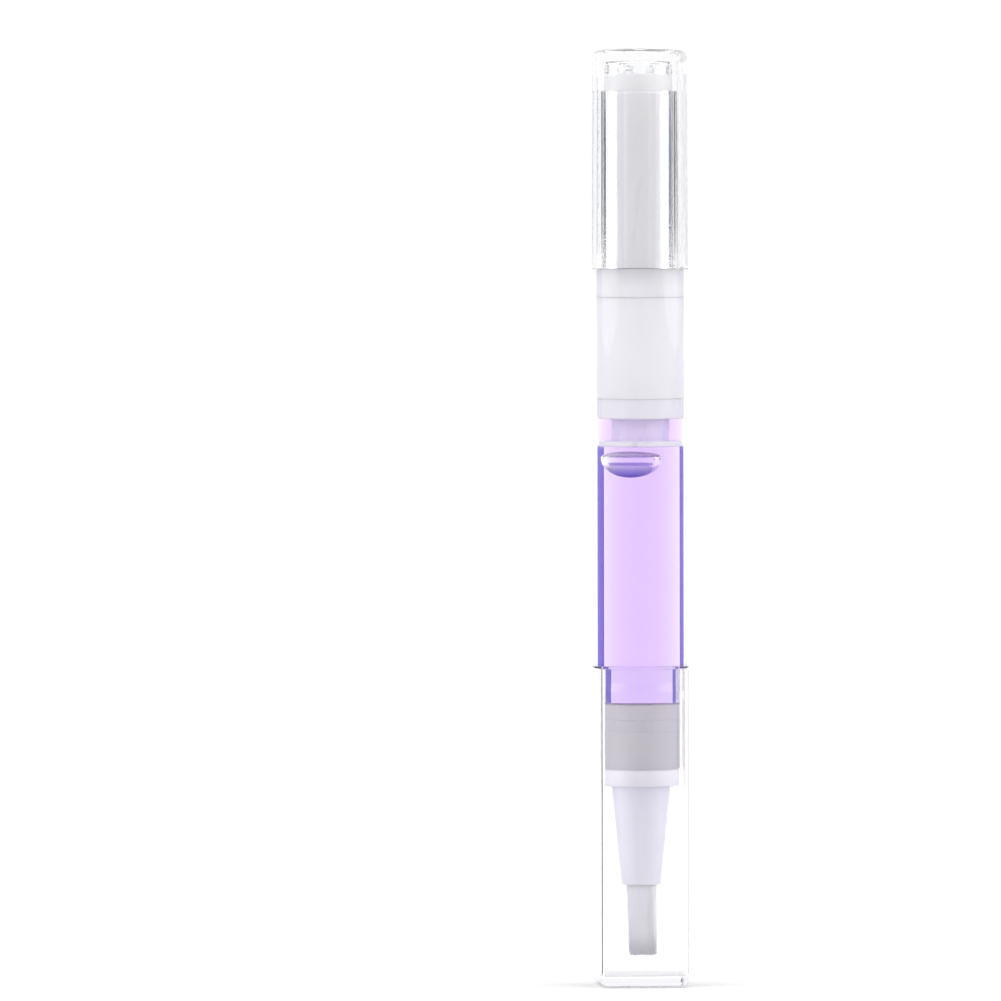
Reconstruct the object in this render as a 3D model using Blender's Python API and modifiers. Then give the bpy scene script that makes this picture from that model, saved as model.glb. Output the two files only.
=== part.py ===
"""Twist-up cuticle oil pen, standing on its cap, with its axis on Z and +Z up.

A clear round barrel holds the oil between the nozzle's plug and a piston. A square push-on cap covers the
nozzle and its brush at the lower end. The square knob at the upper end carries a sleeve that turns a lead screw
in a fixed nut, so that the screw pushes the piston and the oil towards the brush. Lengths are in metres.
"""

import math
import random

import bmesh
import bpy
from mathutils import Matrix, Vector

# Driving sizes
OIL_LENGTH = 0.0395
FEED_STROKE = 0.0375
THREAD_LEAD = 0.0030
THREAD_CREST_RADIUS = 0.0017
BRUSH_RADIUS = 0.0023
BRUSH_REACH = 0.0109
BARREL_WALL = 0.0030
NECK_WALL = 0.0014
KNOB_REST_TURN = math.radians(-13.7)

FIT = 0.0003  # between pieces that touch or slide
OVERRUN = 0.001  # by which a cutter passes the face it cuts
MERGE = 1e-6
ROUND_SIDES = 48
MIDDLE_SIDES = 36
FINE_SIDES = 28
SMALL_SIDES = 16
SHARP_ANGLE = math.radians(30)

for leftover in list(bpy.data.objects):
    bpy.data.objects.remove(leftover, do_unlink=True)

pen_parts = bpy.data.collections.new("cuticle_oil_pen")
pen_cutters = bpy.data.collections.new("cuticle_oil_pen_cutters")
bpy.context.scene.collection.children.link(pen_parts)
bpy.context.scene.collection.children.link(pen_cutters)
pen_cutters.hide_render = True


def material_for(piece, finish):
    """The piece's own Principled material, in one of the finishes below."""
    colour, roughness, clear_share = finish
    material = bpy.data.materials.new(f"{piece.name}_material")
    material.use_nodes = True
    shader = material.node_tree.nodes["Principled BSDF"]
    shader.inputs["Base Color"].default_value = (*colour, 1.0)
    shader.inputs["Roughness"].default_value = roughness
    shader.inputs["Metallic"].default_value = 0.0
    shader.inputs["Transmission Weight"].default_value = clear_share
    material.diffuse_color = (*colour, 1.0 - clear_share / 2)
    return material


def add_object(name, mesh, collection=pen_parts):
    piece = bpy.data.objects.new(name, mesh)
    collection.objects.link(piece)
    return piece


def turned(name, outline, sides, collection=pen_parts):
    """A turned solid from (radius, height) points that run down its outer side.

    An outline that ends on the axis stays open; any other is closed, up its inner side.
    """
    mesh = bpy.data.meshes.new(name)
    corners = [(radius, 0.0, height) for radius, height in outline]
    edges = [(i, i + 1) for i in range(len(corners) - 1)]
    if outline[0][0] > 0:
        edges.append((len(corners) - 1, 0))
    mesh.from_pydata(corners, edges, [])
    piece = add_object(name, mesh, collection)
    screw = piece.modifiers.new("Turn", "SCREW")
    screw.axis = "Z"
    screw.angle = math.tau
    screw.steps = sides
    screw.render_steps = sides
    screw.use_merge_vertices = True
    screw.merge_threshold = MERGE
    return piece


def block(name, size, centre, collection=pen_parts):
    """A box from a unit cube, with its size applied."""
    mesh = bpy.data.meshes.new(name)
    shape = bmesh.new()
    bmesh.ops.create_cube(shape, size=1.0)
    bmesh.ops.scale(shape, vec=Vector(size), verts=shape.verts)
    bmesh.ops.translate(shape, vec=Vector(centre), verts=shape.verts)
    shape.to_mesh(mesh)
    shape.free()
    return add_object(name, mesh, collection)


EDGE_SEGMENTS = 4


def rounded_box(name, side, bottom, top, upright, rim, rim_at_top, collection=pen_parts):
    """A square box with rounded upright edges and one rounded rim, at its top or its bottom."""
    piece = block(name, (side, side, top - bottom), (0, 0, (top + bottom) / 2), collection)
    shape = bmesh.new()
    shape.from_mesh(piece.data)
    middle = (top + bottom) / 2
    uprights = [e for e in shape.edges if (e.verts[0].co.z > middle) != (e.verts[1].co.z > middle)]
    bmesh.ops.bevel(shape, geom=uprights, offset=upright, segments=EDGE_SEGMENTS, profile=0.5, affect="EDGES")
    rim_edges = [e for e in shape.edges if all((v.co.z > middle) == rim_at_top for v in e.verts)]
    bmesh.ops.bevel(shape, geom=rim_edges, offset=rim, segments=EDGE_SEGMENTS, profile=0.5, affect="EDGES")
    shape.to_mesh(piece.data)
    shape.free()
    return piece


def combine(piece, tool, operation):
    step = piece.modifiers.new(tool.name, "BOOLEAN")
    step.operation = operation
    step.solver = "EXACT"
    step.object = tool


def cut(piece, tool):
    combine(piece, tool, "DIFFERENCE")


def join(piece, tool):
    combine(piece, tool, "UNION")


def hide_tool(tool):
    tool.hide_render = True
    tool.display_type = "WIRE"
    return tool


def settle(piece, finish, datum, parent):
    """Applies the modifiers, shades the piece and puts its origin on the axis at the datum height."""
    bpy.context.view_layer.update()
    graph = bpy.context.evaluated_depsgraph_get()
    mesh = bpy.data.meshes.new_from_object(piece.evaluated_get(graph))
    piece.modifiers.clear()
    mesh.transform(Matrix.Translation((0, 0, -datum)))
    mesh.name = piece.name
    piece.data = mesh
    mesh.materials.clear()
    mesh.materials.append(material_for(piece, finish))
    mesh.shade_smooth()
    mesh.set_sharp_from_angle(angle=SHARP_ANGLE)
    return place(piece, datum, parent)


def carrier(name, height, turn=0.0, parent=None):
    """An empty on the axis that a moving group hangs from."""
    empty = add_object(name, None)
    empty.rotation_euler = (0, 0, turn)
    return place(empty, height, parent)


def place(item, height, parent):
    """Puts an object on the axis at a height above the ground, under its parent."""
    item.parent = parent
    bpy.context.view_layer.update()
    item.location = (0, 0, height - (parent.matrix_world.translation.z if parent else 0))
    bpy.context.view_layer.update()
    return item


# Heights, from the cap's base up
CAP_BASE = 0.0020
TIP_ROOM = 0.0031
CONE_LENGTH = 0.0150
FLANGE_THICKNESS = 0.0022
PLUG_LENGTH = 0.0104
NECK_LENGTH = 0.01595
PISTON_LENGTH = 0.0074
AIR_ROOM = 0.0045
NUT_LENGTH = 0.0040
BUSHING_LENGTH = 0.0106
RATCHET_LENGTH = 0.00445

brush_tip = CAP_BASE + TIP_ROOM
nozzle_tip = brush_tip + BRUSH_REACH
flange_bottom = nozzle_tip + CONE_LENGTH
flange_top = flange_bottom + FLANGE_THICKNESS
neck_end = flange_top + FIT
shoulder = neck_end + NECK_LENGTH
cap_rim = shoulder - FIT
plug_end = flange_top + PLUG_LENGTH
oil_bottom = plug_end + FIT
oil_top = oil_bottom + OIL_LENGTH
piston_front = oil_top + FIT
piston_rear = piston_front + PISTON_LENGTH
bushing_bottom = piston_rear + AIR_ROOM
bushing_top = bushing_bottom + BUSHING_LENGTH
ratchet_bottom = bushing_top + FIT
barrel_rear = ratchet_bottom + RATCHET_LENGTH
knob_rim = barrel_rear + FIT
spindle_bottom = bushing_bottom + NUT_LENGTH + FIT

# Radii, from the lead screw out
FIN_DEPTH = 0.0003
SPINDLE_SKIN = 0.0003
SPINDLE_BEAD = 0.00045
BUSHING_WALL = 0.00055

channel_radius = THREAD_CREST_RADIUS + FIT
fin_radius = channel_radius + FIN_DEPTH
groove_radius = fin_radius + FIT
spindle_radius = groove_radius + SPINDLE_SKIN
bead_radius = spindle_radius + SPINDLE_BEAD
pocket_radius = bead_radius + FIT
bushing_radius = pocket_radius + BUSHING_WALL
bore_radius = bushing_radius + FIT
barrel_radius = bore_radius + BARREL_WALL
neck_radius = bore_radius + NECK_WALL

# Finishes: colour, roughness, and the share of light that passes through
CLEAR_PLASTIC = ((0.93, 0.93, 0.97), 0.05, 0.95)
FROSTED_PLASTIC = ((0.80, 0.79, 0.87), 0.35, 0.4)
WHITE_PLASTIC = ((0.86, 0.86, 0.90), 0.30, 0.1)
LILAC_OIL = ((0.72, 0.50, 0.96), 0.02, 0.9)
WHITE_NYLON = ((0.80, 0.80, 0.86), 0.45, 0.0)

pen_axis = carrier("pen_axis", 0.0)
barrel_axis = carrier("barrel_axis", shoulder, parent=pen_axis)


# Cap: thin flat walls round a square cavity that clears the neck, with a thick base
CAP_WALL = 0.00055
CAP_EDGE = 0.0005
CAP_BASE_EDGE = 0.0004
CAVITY_EDGE = 0.0004
CAVITY_FLOOR_EDGE = 0.0003

cavity_side = 2 * (neck_radius + FIT)
cap_side = cavity_side + 2 * CAP_WALL


def make_cap():
    cap = rounded_box("cap", cap_side, 0.0, cap_rim, CAP_EDGE, CAP_BASE_EDGE, rim_at_top=False)
    cavity = rounded_box(
        "cap_cavity", cavity_side, CAP_BASE, cap_rim + OVERRUN, CAVITY_EDGE, CAVITY_FLOOR_EDGE, False, pen_cutters
    )
    cut(cap, hide_tool(cavity))
    return settle(cap, CLEAR_PLASTIC, 0.0, pen_axis)


# Barrel: a thick round wall, a shoulder, and the neck with the bead that holds the cap
SHOULDER_EDGE = 0.0002
NECK_EDGE = 0.0004
NECK_BEAD = 0.0001
NECK_BEAD_HEIGHT = 0.0008
NECK_BEAD_BELOW_RIM = 0.0036
BORE_EDGE = 0.0002


def make_barrel():
    bead = cap_rim - NECK_BEAD_BELOW_RIM
    half_bead = NECK_BEAD_HEIGHT / 2
    outline = [
        (barrel_radius - SHOULDER_EDGE, barrel_rear),
        (barrel_radius, barrel_rear - SHOULDER_EDGE),
        (barrel_radius, shoulder + SHOULDER_EDGE),
        (barrel_radius - SHOULDER_EDGE, shoulder),
        (neck_radius, shoulder),
        (neck_radius, bead + NECK_BEAD_HEIGHT),
        (neck_radius + NECK_BEAD, bead + half_bead),
        (neck_radius + NECK_BEAD, bead - half_bead),
        (neck_radius, bead - NECK_BEAD_HEIGHT),
        (neck_radius, neck_end + NECK_EDGE),
        (neck_radius - NECK_EDGE, neck_end),
        (bore_radius + BORE_EDGE, neck_end),
        (bore_radius, neck_end + BORE_EDGE),
        (bore_radius, barrel_rear - BORE_EDGE),
        (bore_radius + BORE_EDGE, barrel_rear),
    ]
    return settle(turned("barrel", outline, ROUND_SIDES), CLEAR_PLASTIC, shoulder, barrel_axis)


# Nozzle: plug with two sealing ribs, flange against the neck's end, and cone with the brush's hole
TIP_WALL = 0.0004
TIP_STEP = 0.0006
CONE_WALL = 0.0015
BACKING_RIM = 0.00045
BACKING_THICKNESS = 0.0015
BACKING_DEPTH = 0.0083
PLUG_EDGE = 0.0005
PLUG_RIB = 0.00015
PLUG_RIB_HEIGHT = 0.0005
PLUG_RIB_PLACES = (0.0040, 0.0023)  # below the plug's end
FLANGE_EDGE = 0.0002

brush_hole_radius = BRUSH_RADIUS + FIT
tip_radius = brush_hole_radius + TIP_WALL
backing_radius = BRUSH_RADIUS + BACKING_RIM
chamber_radius = backing_radius + FIT
cone_radius = chamber_radius + CONE_WALL
plug_radius = bore_radius - FIT
ledge = nozzle_tip + BACKING_DEPTH - FIT


def make_nozzle():
    outline = [(plug_radius - PLUG_EDGE, plug_end), (plug_radius, plug_end - PLUG_EDGE)]
    for below in reversed(PLUG_RIB_PLACES):
        rib = plug_end - below
        outline += [
            (plug_radius, rib + PLUG_RIB_HEIGHT),
            (plug_radius + PLUG_RIB, rib + PLUG_RIB_HEIGHT / 2),
            (plug_radius + PLUG_RIB, rib - PLUG_RIB_HEIGHT / 2),
            (plug_radius, rib - PLUG_RIB_HEIGHT),
        ]
    outline += [
        (plug_radius, flange_top),
        (neck_radius - FLANGE_EDGE, flange_top),
        (neck_radius, flange_top - FLANGE_EDGE),
        (neck_radius, flange_bottom + FLANGE_EDGE),
        (neck_radius - FLANGE_EDGE, flange_bottom),
        (cone_radius, flange_bottom),
        (tip_radius, nozzle_tip + TIP_STEP),
        (tip_radius - TIP_WALL / 2, nozzle_tip),
        (brush_hole_radius, nozzle_tip),
        (brush_hole_radius, ledge),
        (chamber_radius, ledge),
        (chamber_radius, plug_end),
    ]
    return settle(turned("nozzle", outline, MIDDLE_SIDES), FROSTED_PLASTIC, flange_top, barrel_axis)


# Brush: nylon strands set on a sunflower pattern round the feed tube, fused to a slice of backing
TUBE_RADIUS = 0.0006
TUBE_BORE_RADIUS = 0.00035
TUBE_TIP_INSIDE = 0.0075  # above the brush's tip
TUBE_ABOVE_BACKING = 0.0015
STRAND_SPACING = 0.000115
STRAND_RADIUS = 0.000075
STRAND_TIP_RADIUS = 0.00004
STRAND_ROOT = 0.0005  # of the strand that lies in the backing
STRAND_SIDES = 3
BRUSH_LEAN = 0.00025
BRUSH_RAGGED = 0.0009
TIP_CLOSE_SHARE = 0.84
BELLY_SHARE = 0.97
BELLY_HEIGHT_SHARE = 0.30

backing_bottom = nozzle_tip + BACKING_DEPTH
tube_clear_radius = TUBE_RADIUS + FIT


def strand_places():
    """(distance from the axis, angle) of each strand, on turns of the golden angle."""
    golden = math.pi * (3 - math.sqrt(5))
    reach = BRUSH_RADIUS - STRAND_RADIUS
    count = int((reach / STRAND_SPACING) ** 2)
    for i in range(count):
        distance = STRAND_SPACING * math.sqrt(i + 1)
        if distance > tube_clear_radius + STRAND_RADIUS and distance < reach:
            yield distance, i * golden


def make_brush():
    chance = random.Random(7)
    strands = bpy.data.meshes.new("brush_strands")
    shape = bmesh.new()
    belly = brush_tip + (nozzle_tip - brush_tip) * BELLY_HEIGHT_SHARE
    for distance, angle in strand_places():
        tip = brush_tip + chance.random() * BRUSH_RAGGED
        levels = (
            (backing_bottom + STRAND_ROOT, 1.0, 0.0, STRAND_RADIUS),
            (belly, BELLY_SHARE, BRUSH_LEAN, STRAND_RADIUS),
            (tip, TIP_CLOSE_SHARE, BRUSH_LEAN, STRAND_TIP_RADIUS),
        )
        rings = []
        for height, share, lean, radius in levels:
            x = distance * share * math.cos(angle) + lean
            y = distance * share * math.sin(angle)
            rings.append([
                shape.verts.new((
                    x + radius * math.cos(angle + k * math.tau / STRAND_SIDES),
                    y + radius * math.sin(angle + k * math.tau / STRAND_SIDES),
                    height,
                ))
                for k in range(STRAND_SIDES)
            ])
        close_rings(shape, rings)
    shape.to_mesh(strands)
    shape.free()
    tuft = hide_tool(add_object("brush_strands", strands, pen_cutters))
    top = backing_bottom + BACKING_THICKNESS
    brush = turned(
        "brush_bristles",
        [
            (backing_radius, top),
            (backing_radius, backing_bottom),
            (tube_clear_radius, backing_bottom),
            (tube_clear_radius, top),
        ],
        SMALL_SIDES,
    )
    join(brush, tuft)
    return settle(brush, WHITE_NYLON, nozzle_tip, barrel_axis)


def close_rings(shape, rings):
    """Joins rings of points, listed from the top down, into one closed body with its faces out."""
    count = len(rings[0])
    for upper, lower in zip(rings, rings[1:]):
        for k in range(count):
            after = (k + 1) % count
            shape.faces.new((lower[k], lower[after], upper[after], upper[k]))
    shape.faces.new(rings[0])
    shape.faces.new(rings[-1][::-1])


def make_feed_tube():
    top = backing_bottom + BACKING_THICKNESS + TUBE_ABOVE_BACKING
    bottom = brush_tip + TUBE_TIP_INSIDE
    outline = [
        (TUBE_RADIUS, top),
        (TUBE_RADIUS, bottom),
        (TUBE_BORE_RADIUS, bottom),
        (TUBE_BORE_RADIUS, top),
    ]
    return settle(turned("feed_tube", outline, SMALL_SIDES), WHITE_PLASTIC, nozzle_tip, barrel_axis)


# Oil: fills the bore between the plug and the piston, with an air bubble against the wall under the piston
OIL_EDGE = 0.0005
BUBBLE_WIDTH = 0.0066
BUBBLE_HEIGHT = 0.0041
BUBBLE_DEPTH = 0.0044
BUBBLE_BELOW_PISTON = 0.0008
BUBBLE_OVER_SIDE = 0.0004  # by which it breaks through the oil's side
BUBBLE_TURN = math.radians(-20)  # from the front towards the left
BUBBLE_SIDES = 24
BUBBLE_RINGS = 14


def make_oil():
    radius = bore_radius - FIT
    outline = [
        (0.0, oil_top),
        (radius - OIL_EDGE, oil_top),
        (radius, oil_top - OIL_EDGE),
        (radius, oil_bottom + OIL_EDGE),
        (radius - OIL_EDGE, oil_bottom),
        (0.0, oil_bottom),
    ]
    oil = turned("oil_fill", outline, ROUND_SIDES)
    mesh = bpy.data.meshes.new("air_bubble")
    shape = bmesh.new()
    bmesh.ops.create_uvsphere(shape, u_segments=BUBBLE_SIDES, v_segments=BUBBLE_RINGS, radius=1.0)
    half_sizes = (BUBBLE_WIDTH / 2, BUBBLE_DEPTH / 2, BUBBLE_HEIGHT / 2)
    bmesh.ops.scale(shape, vec=Vector(half_sizes), verts=shape.verts)
    place_y = BUBBLE_DEPTH / 2 - radius - BUBBLE_OVER_SIDE
    place_z = oil_top - BUBBLE_BELOW_PISTON - BUBBLE_HEIGHT / 2
    bmesh.ops.translate(shape, vec=Vector((0, place_y, place_z)), verts=shape.verts)
    shape.to_mesh(mesh)
    shape.free()
    mesh.transform(Matrix.Rotation(BUBBLE_TURN, 4, "Z"))
    cut(oil, hide_tool(add_object("air_bubble", mesh, pen_cutters)))
    return settle(oil, LILAC_OIL, oil_bottom, barrel_axis)


# Lead screw: a two-start rounded thread, with a foot in the piston and driver fins at its rear end
THREAD_DEPTH = 0.0006
THREAD_STARTS = 2
THREAD_POINTS = 10
THREAD_STEPS = 9  # in each turn
THREAD_RUN_IN = 0.0010
STEM_STEP = 0.0002  # by which the foot's stem is thinner than the thread's root
FOOT_REACH = 0.0005
FOOT_THICKNESS = 0.0010
FOOT_EDGE = 0.0002
FOOT_DEPTH = 0.0048  # of the foot's front face, from the piston's rear
FIN_LENGTH = 0.0020
FIN_THICKNESS = 0.0007

thread_root_radius = THREAD_CREST_RADIUS - THREAD_DEPTH
stem_radius = thread_root_radius - STEM_STEP
foot_radius = thread_root_radius + FOOT_REACH
foot_bottom = piston_rear - FOOT_DEPTH
thread_bottom = bushing_bottom - THREAD_RUN_IN
fins_bottom = spindle_bottom + FEED_STROKE + FIT
screw_top = fins_bottom + FIN_LENGTH


def thread_radius(share, offset):
    """The thread's radius at a share of a turn round its outline, grown by offset."""
    wave = (1 + math.cos(THREAD_STARTS * math.tau * share)) / 2
    return THREAD_CREST_RADIUS - THREAD_DEPTH * (1 - wave) + offset


def thread_body(name, bottom, top, offset, rest_turn, collection):
    """A twisted bar whose outline turns once in each lead, right-handed, in step with its height."""
    steps = math.ceil((top - bottom) / THREAD_LEAD * THREAD_STEPS)
    mesh = bpy.data.meshes.new(name)
    shape = bmesh.new()
    rings = []
    for step in range(steps + 1):
        height = top + (bottom - top) * step / steps
        turn = math.tau * height / THREAD_LEAD - rest_turn
        ring = []
        for k in range(THREAD_POINTS):
            share = k / THREAD_POINTS
            angle = turn + math.tau * share
            radius = thread_radius(share, offset)
            ring.append(shape.verts.new((radius * math.cos(angle), radius * math.sin(angle), height)))
        rings.append(ring)
    close_rings(shape, rings)
    shape.to_mesh(mesh)
    shape.free()
    return add_object(name, mesh, collection)


def make_push_rod(knob_axis):
    rod = thread_body("push_rod", thread_bottom, fins_bottom + FIN_LENGTH / 2, 0.0, KNOB_REST_TURN, pen_parts)
    foot = turned(
        "push_rod_foot",
        [
            (0.0, thread_bottom + THREAD_RUN_IN),
            (stem_radius, thread_bottom + THREAD_RUN_IN),
            (stem_radius, foot_bottom + FOOT_THICKNESS),
            (foot_radius, foot_bottom + FOOT_THICKNESS),
            (foot_radius, foot_bottom + FOOT_EDGE),
            (foot_radius - FOOT_EDGE, foot_bottom),
            (0.0, foot_bottom),
        ],
        SMALL_SIDES,
        pen_cutters,
    )
    join(rod, hide_tool(foot))
    middle = (fins_bottom + screw_top) / 2
    for name, size in (
        ("push_rod_fins_across", (2 * fin_radius, FIN_THICKNESS, FIN_LENGTH)),
        ("push_rod_fins_along", (FIN_THICKNESS, 2 * fin_radius, FIN_LENGTH)),
    ):
        join(rod, hide_tool(block(name, size, (0, 0, middle), pen_cutters)))
    return settle(rod, WHITE_PLASTIC, piston_rear, knob_axis)


# Piston: sealing ring at the rear, waist, and guide disc at the front, with a snap socket for the foot
SEAL_LENGTH = 0.0031
GUIDE_LENGTH = 0.0009
WAIST_DEPTH = 0.0007
SEAL_EDGE = 0.0003
SKIRT_DEPTH = 0.0021
SKIRT_WALL = 0.0008
SOCKET_LIP = 0.0014


def make_piston(piston_axis):
    seal_radius = bore_radius - FIT
    waist_radius = seal_radius - WAIST_DEPTH
    socket_bottom = foot_bottom - FIT
    socket_top = foot_bottom + FOOT_THICKNESS + FIT
    lip_radius = thread_root_radius + FIT
    outline = [
        (seal_radius, piston_rear),
        (seal_radius, piston_rear - SEAL_LENGTH + SEAL_EDGE),
        (seal_radius - SEAL_EDGE, piston_rear - SEAL_LENGTH),
        (waist_radius, piston_rear - SEAL_LENGTH),
        (waist_radius, piston_front + GUIDE_LENGTH),
        (seal_radius - SEAL_EDGE, piston_front + GUIDE_LENGTH),
        (seal_radius, piston_front + GUIDE_LENGTH - SEAL_EDGE),
        (seal_radius, piston_front + SEAL_EDGE),
        (seal_radius - SEAL_EDGE, piston_front),
        (0.0, piston_front),
    ]
    inner = [
        (0.0, socket_bottom),
        (foot_radius + FIT, socket_bottom),
        (foot_radius + FIT, socket_top),
        (lip_radius, socket_top),
        (lip_radius, socket_top + SOCKET_LIP),
        (seal_radius - SKIRT_WALL, piston_rear - SKIRT_DEPTH + SOCKET_LIP),
        (seal_radius - SKIRT_WALL, piston_rear),
    ]
    return settle(turned("piston", inner + outline, MIDDLE_SIDES), WHITE_PLASTIC, piston_front, piston_axis)


# Rear bushing: the fixed nut below, and above it the pocket where the spindle's bead turns
BUSHING_RELIEF = 0.0002
BUSHING_LAND = 0.0012
POCKET_LENGTH = 0.0017
NUT_LEAD_IN = 0.0003


def make_rear_bushing():
    pocket_bottom = bushing_bottom + NUT_LENGTH
    mouth_radius = spindle_radius + FIT
    outline = [
        (0.0, pocket_bottom),
        (pocket_radius, pocket_bottom),
        (pocket_radius, pocket_bottom + POCKET_LENGTH),
        (mouth_radius, pocket_bottom + POCKET_LENGTH),
        (mouth_radius, bushing_top),
        (bushing_radius, bushing_top),
        (bushing_radius, bushing_top - BUSHING_LAND),
        (bushing_radius - BUSHING_RELIEF, bushing_top - BUSHING_LAND - BUSHING_RELIEF),
        (bushing_radius - BUSHING_RELIEF, bushing_bottom + BUSHING_LAND + BUSHING_RELIEF),
        (bushing_radius, bushing_bottom + BUSHING_LAND),
        (bushing_radius, bushing_bottom + BUSHING_RELIEF),
        (bushing_radius - BUSHING_RELIEF, bushing_bottom),
        (0.0, bushing_bottom),
    ]
    bushing = turned("rear_bushing", outline, FINE_SIDES)
    tap = thread_body("bushing_tap", bushing_bottom - OVERRUN, pocket_bottom + OVERRUN, FIT, 0.0, pen_cutters)
    cut(bushing, hide_tool(tap))
    return settle(bushing, FROSTED_PLASTIC, bushing_bottom, barrel_axis)


# Ratchet ring: saw teeth round the barrel's mouth, which the spindle's noses click past
RATCHET_TEETH = 16
TOOTH_DEPTH = 0.0003
NOSE_HEIGHT = 0.00015
NOSE_COUNT = 2
NOSE_LENGTH = 0.0030
NOSE_WIDTH = 0.0008
TOOTH_BACK_SHARE = 0.85

tooth_tip_radius = spindle_radius + NOSE_HEIGHT + FIT
tooth_root_radius = tooth_tip_radius + TOOTH_DEPTH


def make_ratchet_ring():
    ring = turned(
        "ratchet_ring",
        [
            (0.0, barrel_rear),
            (bushing_radius - BUSHING_RELIEF, barrel_rear),
            (bushing_radius, barrel_rear - BUSHING_RELIEF),
            (bushing_radius, ratchet_bottom),
            (0.0, ratchet_bottom),
        ],
        ROUND_SIDES,
    )
    mesh = bpy.data.meshes.new("ratchet_teeth")
    shape = bmesh.new()
    rings = []
    for height in (barrel_rear + OVERRUN, ratchet_bottom - OVERRUN):
        corners = []
        for tooth in range(RATCHET_TEETH):
            for share, radius in ((0.0, tooth_tip_radius), (TOOTH_BACK_SHARE, tooth_root_radius)):
                angle = math.tau * (tooth + share) / RATCHET_TEETH
                corners.append(shape.verts.new((radius * math.cos(angle), radius * math.sin(angle), height)))
        rings.append(corners)
    close_rings(shape, rings)
    shape.to_mesh(mesh)
    shape.free()
    cut(ring, hide_tool(add_object("ratchet_teeth", mesh, pen_cutters)))
    return settle(ring, FROSTED_PLASTIC, barrel_rear, barrel_axis)


# Drive sleeve: fills the knob, with a spigot in the knob's socket, a grooved channel for the screw's fins,
# and the spindle that turns in the bushing
SLEEVE_GAP = 0.0015  # between the spindle's tube and the sleeve's outer wall
SLEEVE_WALL = 0.0009
SPIGOT_STEP = 0.0003
SPIGOT_LENGTH = 0.0030
SPIGOT_EDGE = 0.0003
WEB_THICKNESS = 0.0016
BEAD_LENGTH = 0.0011
TUBE_SKIN = 0.0005
SLEEVE_RIM = 0.0014  # of the sleeve above its tube

tube_radius = groove_radius + TUBE_SKIN
sleeve_inner_radius = tube_radius + SLEEVE_GAP
sleeve_radius = sleeve_inner_radius + SLEEVE_WALL
spigot_radius = sleeve_radius - SPIGOT_STEP
tube_top = screw_top + FIT
sleeve_top = tube_top + SLEEVE_RIM
spigot_bottom = sleeve_top - SPIGOT_LENGTH


def make_drive_sleeve(knob_axis):
    outline = [
        (0.0, tube_top),
        (tube_radius, tube_top),
        (tube_radius, knob_rim + WEB_THICKNESS),
        (sleeve_inner_radius, knob_rim + WEB_THICKNESS),
        (sleeve_inner_radius, sleeve_top),
        (spigot_radius - SPIGOT_EDGE, sleeve_top),
        (spigot_radius, sleeve_top - SPIGOT_EDGE),
        (spigot_radius, spigot_bottom),
        (sleeve_radius, spigot_bottom),
        (sleeve_radius, knob_rim),
        (spindle_radius, knob_rim),
        (spindle_radius, spindle_bottom + BEAD_LENGTH),
        (bead_radius, spindle_bottom + BEAD_LENGTH),
        (bead_radius, spindle_bottom + SPINDLE_BEAD),
        (spindle_radius, spindle_bottom),
        (0.0, spindle_bottom),
    ]
    sleeve = turned("drive_sleeve", outline, ROUND_SIDES)
    nose_middle = (ratchet_bottom + barrel_rear) / 2
    for n in range(NOSE_COUNT):
        turn = math.tau * n / NOSE_COUNT
        reach = spindle_radius + NOSE_HEIGHT
        nose = block(
            f"click_nose_{n + 1}",
            (reach - channel_radius - SPINDLE_SKIN, NOSE_WIDTH, NOSE_LENGTH),
            ((reach + channel_radius + SPINDLE_SKIN) / 2, 0, nose_middle),
            pen_cutters,
        )
        nose.data.transform(Matrix.Rotation(turn + math.tau / 8, 4, "Z"))
        join(sleeve, hide_tool(nose))
    channel = turned(
        "screw_channel",
        [
            (0.0, tube_top + OVERRUN),
            (channel_radius, tube_top + OVERRUN),
            (channel_radius, spindle_bottom - OVERRUN),
            (0.0, spindle_bottom - OVERRUN),
        ],
        FINE_SIDES,
        pen_cutters,
    )
    length = tube_top - spindle_bottom + 2 * OVERRUN
    middle = (tube_top + spindle_bottom) / 2
    width = FIN_THICKNESS + 2 * FIT
    join(channel, hide_tool(block(
        "groove_across", (2 * groove_radius, width, length), (0, 0, middle), pen_cutters
    )))
    join(channel, hide_tool(block(
        "groove_along", (width, 2 * groove_radius, length), (0, 0, middle), pen_cutters
    )))
    cut(sleeve, hide_tool(channel))
    return settle(sleeve, WHITE_PLASTIC, knob_rim, knob_axis)


# Knob: a clear square shell with flat sides, a round bore for the sleeve and a thick crowned end
KNOB_WALL = 0.00095
KNOB_EDGE = 0.00035
KNOB_RIM_EDGE = 0.0002
END_ROOM = 0.0016
END_WALL = 0.0022
CROWN_RADIUS = 0.055
BORE_END_EDGE = 0.0005
DIMPLE_RADIUS = 0.0011
DIMPLE_DEPTH = 0.0004

knob_bore_radius = sleeve_radius + FIT
knob_side = 2 * (knob_bore_radius + KNOB_WALL)
knob_inner_end = sleeve_top + END_ROOM
knob_top = knob_inner_end + END_WALL


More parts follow.
